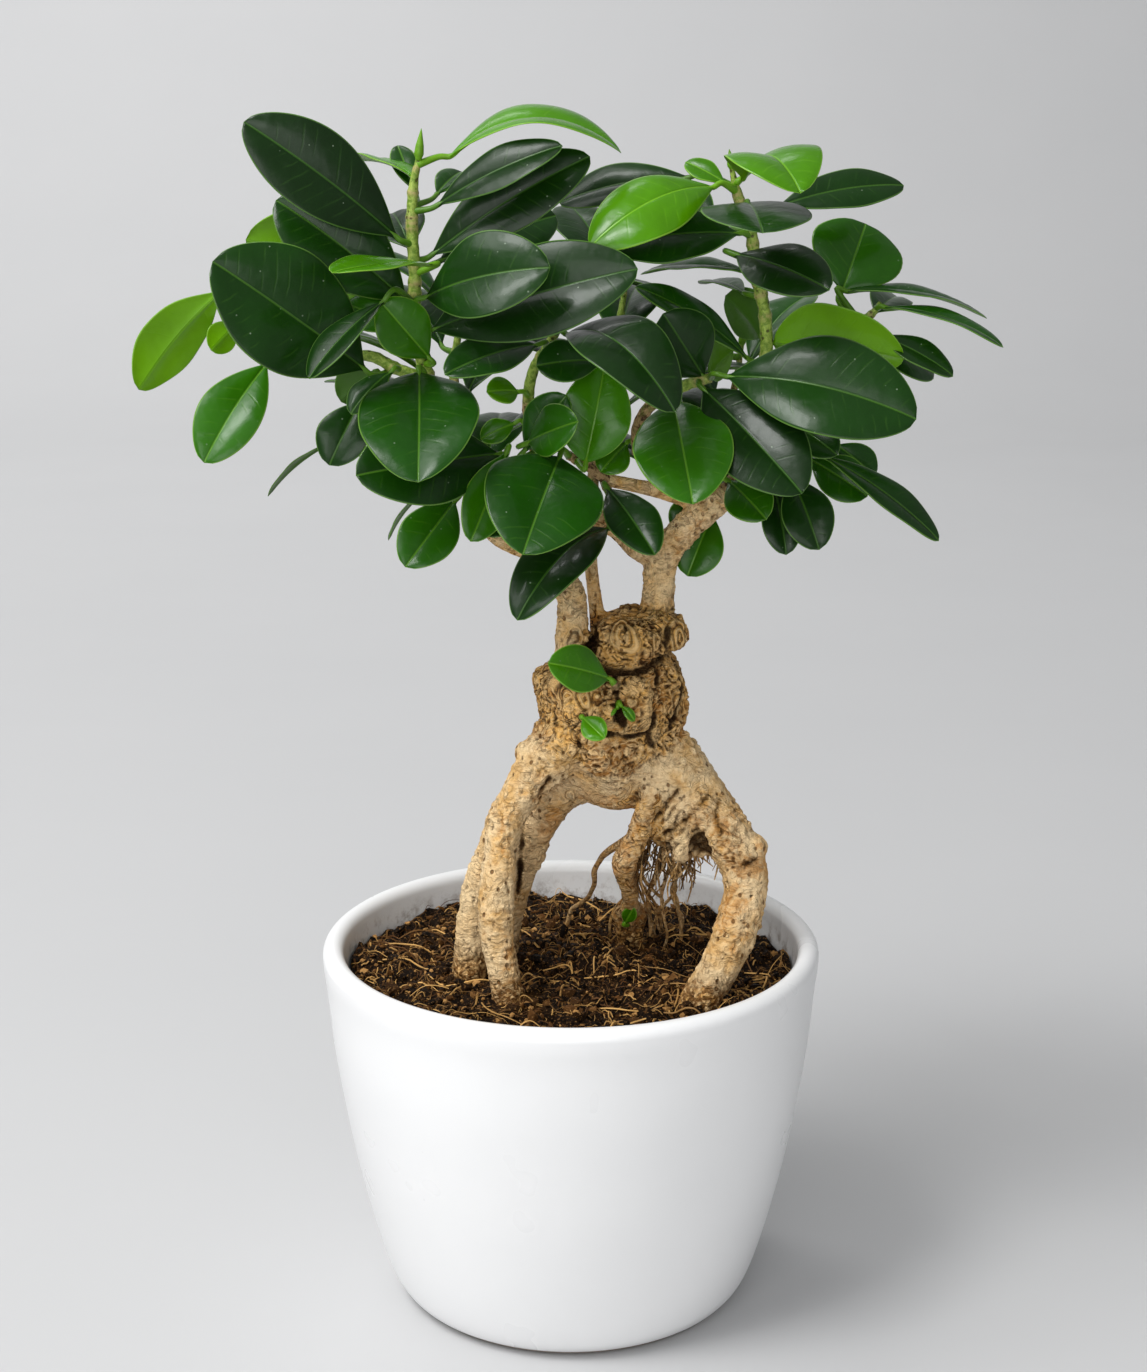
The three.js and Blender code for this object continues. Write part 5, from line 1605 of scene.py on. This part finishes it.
def long_hair(draw):
    start = place_in(draw, HAIR_TOP)
    foot = np.append(place_in(draw, HAIR_FOOT), HAIR_END)
    foot[0] = 0.6 * foot[0] + 0.4 * start[0]
    thick = (0.22, 0.62)
    if draw() >= REACHING:
        foot = start + (foot - start) * between(draw, 0.25, 0.7)
        thick = (0.1, 0.25)
    thick = between(draw, *thick)
    phase = 2 * math.pi * draw()
    turns = 6 * between(draw, 0.6, 1.8)
    marks = []
    for t in np.linspace(0, 1, HAIR_POINTS):
        swing = HAIR_CURL * math.sin(math.pi * t) * (0.5 + 0.5 * draw())
        curl = np.array([math.cos(phase + turns * t), math.sin(phase + turns * t), 0.3])
        marks.append((*(start + (foot - start) * t + swing * curl), thick * (1.15 - 0.5 * t)))
    return marks


def torn_bit(draw):
    start = place_in(draw, BIT_TOP)
    heading = unit(np.array([draw() - 0.5, draw() - 0.5, -0.25 - 0.7 * draw()]))
    long = 1.5 + 5 * draw() ** 2
    bend = 0.35 * long * np.array([draw() - 0.5, draw() - 0.5, 0])
    thick = between(draw, 0.12, 0.3)
    middle = start + 0.5 * long * heading + bend
    return [(*start, thick), (*middle, thick), (*(start + long * heading), thick / 2)]


def rootlet(draw):
    start = place_in(draw, ROOTLET_TOP)
    long = between(draw, 3, 14)
    foot = start + np.array([between(draw, -4, 3), between(draw, -2, 4), -long])
    middle = (start + foot) / 2 + np.array([between(draw, -2.5, 2.5), between(draw, -2.5, 2.5), 0])
    thick = between(draw, 0.15, 0.4)
    return [(*start, thick), (*middle, 0.8 * thick), (*foot, 0.4 * thick)]


# What makes a hair, how many there are, its sides, the step along it in mm, and how dark it may be. The
# rootlets' near black is painted shade in the gap behind the central root.
HAIRS = [(long_hair, 17, 6, 1.2, 0.2), (torn_bit, 110, 5, 0.9, 0.2), (rootlet, 95, 5, 1.2, 1.0)]


def root_hairs_piece():
    draw = seeded(404)
    mesh = Mesh("bark", "zone", "knot")
    for marks_of, count, sides, step, gloom in HAIRS:
        for _ in range(count):
            made, faces, _ = tube(marks_of(draw), sides, step)
            bark = (0.2 * draw(), 0.3 + 0.5 * draw(), gloom * draw())
            mesh.add(made, faces, bark=bark, zone=(draw(), 0.1, 0.2), knot=FAR_FROM_KNOTS)
    return mesh.piece("root_hairs", [bark_material()])


# Pot, in mm
POT_HEIGHT = 104.7
RIM_RADIUS = 70
RIM_BEAD = 3
BEAD_STEPS = 13
WALL = 6
FOOT_RADIUS = 47
FOOT_HEIGHT = 1.2
FLOOR_TOP = 8
FLOOR_RADIUS = 44
POT_TURNS = 160
# The side as pairs of share of the height and radius, then pairs of radius and height
POT_SIDE = [(0.02, 49.0), (0.06, 51.9), (0.14, 54.9), (0.27, 58.6), (0.45, 62.8), (0.7, 67.1), (0.88, 69.0)]
UNDER_BEAD = (69.8, 98.5)
INSIDE_BEAD = (63.6, 97)
FOOT = [(1, 0), (30, 0), (FOOT_RADIUS - 0.9, 0), (FOOT_RADIUS - 0.25, 0.25), (FOOT_RADIUS, 0.8)]
FLOOR = [(FLOOR_RADIUS, FLOOR_TOP), (20, FLOOR_TOP), (1, FLOOR_TOP)]


def smoothed(profile, per_span):
    marks = [(radius, 0, height) for radius, height in profile]
    places = path_at(marks, np.linspace(0, 1, per_span * (len(marks) - 1) + 1))[0]
    return [(p[0], p[2]) for p in places]


def pot_piece():
    side = [(radius, share * POT_HEIGHT) for share, radius in POT_SIDE]
    turns = np.linspace(0, math.pi, BEAD_STEPS)
    bead_radii = RIM_RADIUS - RIM_BEAD + RIM_BEAD * np.cos(turns)
    bead_heights = POT_HEIGHT - RIM_BEAD + RIM_BEAD * np.sin(turns)
    bead = list(zip(bead_radii, bead_heights))
    outside = smoothed([(FOOT_RADIUS, FOOT_HEIGHT), *side, UNDER_BEAD, bead[0]], 8)
    inner = [(radius - WALL, height) for radius, height in side[2:]]
    inside = smoothed([bead[-1], INSIDE_BEAD, *reversed(inner)], 6)
    profile = np.array([*FOOT, *outside, *bead[1:-1], *inside, *FLOOR])
    mesh = Mesh()
    mesh.add(*ringed(level_rings(profile[:, :1], profile[:, :1], profile[:, 1:], POT_TURNS)))
    return mesh.piece("pot_glazed", [glaze_material()])


# Soil: an uneven top, with crumbs, chips and fibres on it
SOIL_LEVEL = 95
SOIL_RADIUS = 62.6
SOIL_TURNS = 300
SOIL_STEP = 0.75
# The side under the top, as pairs of radius and height
SOIL_SIDE = [(FLOOR_RADIUS - 1, FLOOR_TOP + 0.3), (50, 20), (54, 36), (58.5, 60), (SOIL_RADIUS - 0.4, 86)]
# Crumbs, clods and chips: how many, the smallest and largest, how thick for their width, how warm and pale
LOOSE = [
    (2600, 0.35, 1.4, 0.8, 0.8, 1),
    (330, 1.2, 2.6, 0.75, 0.9, 0.76),
    (160, 0.7, 1.6, 0.25, 1.6, 0.9),
]
# Fibres and shreds: how many, the shortest and longest, and how pale
FIBRES = [(420, 3, 23, 1), (1300, 1.4, 6, 0.7)]
FIBRE_POINTS = 5
# Where the roots go into the soil, and how far around them the soil is warm brown
FEET = [(-15.5, -27), (-28.8, -4), (-19.6, 11), (31.5, -27), (17.2, 22)]
FOOT_REACH = 9


def soil_height(x, y):
    mounds = 1.5 * np.sin(0.085 * x + 0.6) * np.cos(0.07 * y - 0.5)
    dips = 0.9 * np.sin(0.16 * y + 0.11 * x)
    clods = 0.8 * np.sin(0.47 * x + 0.23 * y) * np.sin(0.39 * y - 0.17 * x + 1.1)
    return SOIL_LEVEL + mounds + dips + clods


def soil_top(x, y):
    flat = np.column_stack([x.ravel(), y.ravel(), np.zeros(x.size)])
    lumps = 2.1 * layered(flat, 8, 201, 2) + 1.7 * np.abs(layered(flat, 3.2, 211, 3))
    return soil_height(x, y) + lumps.reshape(x.shape) - 0.5


def near_feet(x, y):
    """1 where a root goes into the soil, and 0 far from the roots."""
    near = [np.exp(-((x - fx) ** 2 + (y - fy) ** 2) / FOOT_REACH**2) for fx, fy in FEET]
    return np.max(near, axis=0)


GRID_STEP = 0.5
grid_line = np.arange(-RIM_RADIUS, RIM_RADIUS + GRID_STEP, GRID_STEP)
ground_grid = soil_top(*np.meshgrid(grid_line, grid_line, indexing="ij"))


def ground(x, y):
    """The height of the soil's top at the nearest place of the grid."""
    return float(ground_grid[round((x + RIM_RADIUS) / GRID_STEP), round((y + RIM_RADIUS) / GRID_STEP)])


def icosphere():
    """Points and faces of a twenty-faced ball."""
    golden = (1 + math.sqrt(5)) / 2
    corners = [
        (-1, golden, 0), (1, golden, 0), (-1, -golden, 0), (1, -golden, 0),
        (0, -1, golden), (0, 1, golden), (0, -1, -golden), (0, 1, -golden),
        (golden, 0, -1), (golden, 0, 1), (-golden, 0, -1), (-golden, 0, 1),
    ]
    faces = [
        (0, 11, 5), (0, 5, 1), (0, 1, 7), (0, 7, 10), (0, 10, 11),
        (1, 5, 9), (5, 11, 4), (11, 10, 2), (10, 7, 6), (7, 1, 8),
        (3, 9, 4), (3, 4, 2), (3, 2, 6), (3, 6, 8), (3, 8, 9),
        (4, 9, 5), (2, 4, 11), (6, 2, 10), (8, 6, 7), (9, 8, 1),
    ]
    return unit(np.array(corners, float)), faces


def on_soil(draw, reach):
    """A random place on the soil's top."""
    far = reach * math.sqrt(draw())
    turn = 2 * math.pi * draw()
    x = far * math.cos(turn)
    y = far * math.sin(turn)
    return x, y, ground(x, y)


def turn_matrix(draw):
    """A random turn in space."""
    axis = unit(np.array([draw() - 0.5, draw() - 0.5, draw() - 0.5]))
    angle = 2 * math.pi * draw()
    cross = np.array([[0, -axis[2], axis[1]], [axis[2], 0, -axis[0]], [-axis[1], axis[0], 0]])
    return np.eye(3) + math.sin(angle) * cross + (1 - math.cos(angle)) * cross @ cross


def add_loose(mesh, draw, count, smallest, largest, thick, warm, pale):
    corners, faces = icosphere()
    for _ in range(count):
        size = between(lambda: draw() ** 2.5, smallest, largest)
        x, y, z = on_soil(draw, SOIL_RADIUS - size)
        lump = 1 + 0.75 * np.array([draw() - 0.5 for _ in corners])
        shape = corners * lump[:, None] * (1, 0.55 + 0.45 * draw(), thick * (0.6 + 0.4 * draw()))
        points = shape @ turn_matrix(draw).T * size + (x, y, z + 0.25 * size)
        mesh.add(points, faces, 0, grain=(pale * draw(), warm * draw() + 1.3 * near_feet(x, y) * draw(), 0))


def add_fibres(mesh, draw, count, shortest, longest, pale):
    for _ in range(count):
        x, y, _ = on_soil(draw, SOIL_RADIUS - 1)
        turn = 2 * math.pi * draw()
        long = between(lambda: draw() ** 2.4, shortest, longest)
        bend = (draw() - 0.5) * 1.8
        hump = 0.3 + min(2.6, 0.4 * long) * draw() ** 2
        thick = 0.09 + 0.26 * draw() ** 3
        marks = []
        for t in np.linspace(-0.5, 0.5, FIBRE_POINTS):
            heading = turn + bend * t
            px = x + long * t * math.cos(heading)
            py = y + long * t * math.sin(heading)
            inward = SOIL_RADIUS / max(SOIL_RADIUS, math.hypot(px, py))
            px *= inward
            py *= inward
            rise = hump * (1 - 4 * t * t) * (0.4 + 0.6 * draw())
            marks.append((px, py, ground(px, py) + 0.25 + rise, thick * (1 - 0.5 * abs(t))))
        made, faces, _ = tube(marks, 4, max(0.9, long / 9))
        mesh.add(made, faces, 1, grain=(pale * draw(), draw(), 1))


def soil_piece():
    side = len(SOIL_SIDE)
    side_radii, side_heights = np.array(SOIL_SIDE).T
    radii = np.concatenate([side_radii, np.arange(SOIL_RADIUS, 0.5, -SOIL_STEP)])[:, None]
    rings = level_rings(radii, radii, 0.0, SOIL_TURNS)
    rings[:side, :, 2] = side_heights[:, None]
    rings[side:, :, 2] = soil_top(rings[side:, :, 0], rings[side:, :, 1])
    points, faces = ringed(rings)
    crumb = 0.5 + 0.5 * noise(points, 2.4, 221)
    warm = 0.5 + 0.5 * noise(points, 9, 225) + 0.8 * near_feet(points[:, 0], points[:, 1])
    mesh = Mesh("grain")
    mesh.add(points, faces, 0, grain=np.column_stack([0.5 * crumb, warm, np.zeros(len(points))]))
    draw = seeded(77)
    for kind in LOOSE:
        add_loose(mesh, draw, *kind)
    for kind in FIBRES:
        add_fibres(mesh, draw, *kind)
    return mesh.piece("soil_peat", [soil_material(), fibre_material()], smooth_faces=False)


# The pieces, most of them in place of a solid, which is then hidden

# Leaves of sprouts too small to stand alone, each with the point that its stalk grows from
TINY_SPROUTS = [
    (leaf((13.6, -17.4, 176.9), (17, -18.6, 173), 2.8, (0.4, -1, 0.3), 0.75, 0.2), (13, -16, 177.6)),
    (leaf((12.4, -17.4, 176.4), (10.8, -18.6, 174.6), 1.2, (-0.3, -1, 0.3), 0.8), (12.8, -16, 177)),
    (leaf((15.6, 14.4, 103.6), (18, 11.6, 109.4), 4.4, (0.15, -1, 0.6), 0.75), (16.4, 17, 102)),
]


def shoot_piece(name, plant, number):
    mesh = Mesh("blade", "look")
    draw = seeded(900 + number)
    grown = [[] for _ in plant["stems"]]
    for one in plant["leaves"]:
        stem, share, root = nearest_on_stems(plant["stems"], one["foot"])
        grown[stem].append(share)
        add_stalk(mesh, one, root)
        add_blade(mesh, one, draw)
    for points, shares in zip(plant["stems"], grown):
        add_stem(mesh, points, shares)
    if plant["bud"]:
        add_bud(mesh, plant["stems"][0], *plant["bud"])
    return mesh.piece(f"{name}_leaves", [leaf_material(), stalk_material(), stem_material()])


def tiny_sprouts_piece():
    mesh = Mesh("blade", "look")
    draw = seeded(950)
    for one, root in TINY_SPROUTS:
        add_stalk(mesh, one, np.array(root, float))
        add_blade(mesh, one, draw)
    return mesh.piece("tiny_sprouts", [leaf_material(), stalk_material()])


def place(piece, slot, node=None):
    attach(piece, "root")
    if node is not None:
        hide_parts(node)


place(pot_piece(), "glaze", "pot")
place(soil_piece(), "soil", "soil")
place(trunk_piece(), "bark", "trunk")
place(root_hairs_piece(), "bark")
place(tiny_sprouts_piece(), "young_leaf")
for number, (name, plant) in enumerate(SHOOTS.items()):
    slot = "young_leaf" if name.endswith("sprout") else "leaf"
    place(shoot_piece(name, plant, number), slot, name)

# Floor, light and camera, in metres

# The floor runs flat to its bend and rises behind in one sweep, a little under the pot's foot
FLOOR_HALF = 6.0
FLOOR_BEND = 1.6
BEND_RADIUS = 1.2
BACK_HEIGHT = 5.0
BEND_STEPS = 24
FLOOR_DROP = 0.0002
WORLD_COLOUR = (0.86, 0.87, 0.89)
WORLD_STRENGTH = 0.42
CLIP = (0.01, 60)
# Name, place, the point it faces, width, height, and watts
LAMPS = [
    ("key", (-0.78, -0.45, 1.30), (0.0, 0.0, 0.15), 1.0, 1.0, 12.5),
    ("spark", (-0.62, -0.52, 1.35), (0.0, 0.0, 0.20), 0.4, 0.4, 8.0),
    ("fill", (-0.45, -1.50, 0.72), (0.0, 0.0, 0.14), 0.8, 0.6, 4.4),
    ("front", (0.05, -1.80, 0.40), (0.0, 0.0, 0.15), 1.2, 0.8, 5.2),
    ("back", (-0.9, 1.2, 1.9), (-0.3, 2.8, 0.5), 1.6, 0.8, 31.0),
]


def floor_line():
    """The floor from the side, as pairs of how far back and how high."""
    line = [(-FLOOR_HALF, 0.0)]
    for turn in np.linspace(0, math.pi / 2, BEND_STEPS + 1):
        line.append((FLOOR_BEND + BEND_RADIUS * math.sin(turn), BEND_RADIUS * (1 - math.cos(turn))))
    line.append((FLOOR_BEND + BEND_RADIUS, BACK_HEIGHT))
    return line


line = floor_line()
corners = [(side * FLOOR_HALF, back, high) for back, high in line for side in (-1, 1)]
strips = [(2 * i, 2 * i + 1, 2 * i + 3, 2 * i + 2) for i in range(len(line) - 1)]
floor_mesh = bpy.data.meshes.new("floor")
floor_mesh.from_pydata(corners, [], strips)
floor_mesh.polygons.foreach_set("use_smooth", [True] * len(strips))
floor_mesh.materials.append(floor_material())
floor = linked("floor", floor_mesh)
floor.location = (0, 0, -FLOOR_DROP)

for name, stand, target, wide, tall, watts in LAMPS:
    light = bpy.data.lights.new(name, "AREA")
    light.shape = "RECTANGLE"
    light.size = wide
    light.size_y = tall
    light.energy = watts
    lamp = linked(name, light)
    lamp.location = stand
    lamp.rotation_euler = (Vector(target) - Vector(stand)).to_track_quat("-Z", "Y").to_euler()

world = bpy.data.worlds.new("studio")
world.use_nodes = True
sky = world.node_tree.nodes["Background"]
sky.inputs["Color"].default_value = (*WORLD_COLOUR, 1)
sky.inputs["Strength"].default_value = WORLD_STRENGTH
bpy.context.scene.world = world
bpy.context.scene.view_settings.view_transform = "Standard"

lens = bpy.data.cameras.new("camera")
lens.lens = CAMERA_LENS
lens.sensor_width = SENSOR
lens.clip_start, lens.clip_end = CLIP
camera = linked("camera", lens)
camera.location = [length * MM for length in CAMERA_PLACE]
camera.rotation_euler = (math.radians(90 - CAMERA_PITCH), 0, 0)
bpy.context.scene.camera = camera
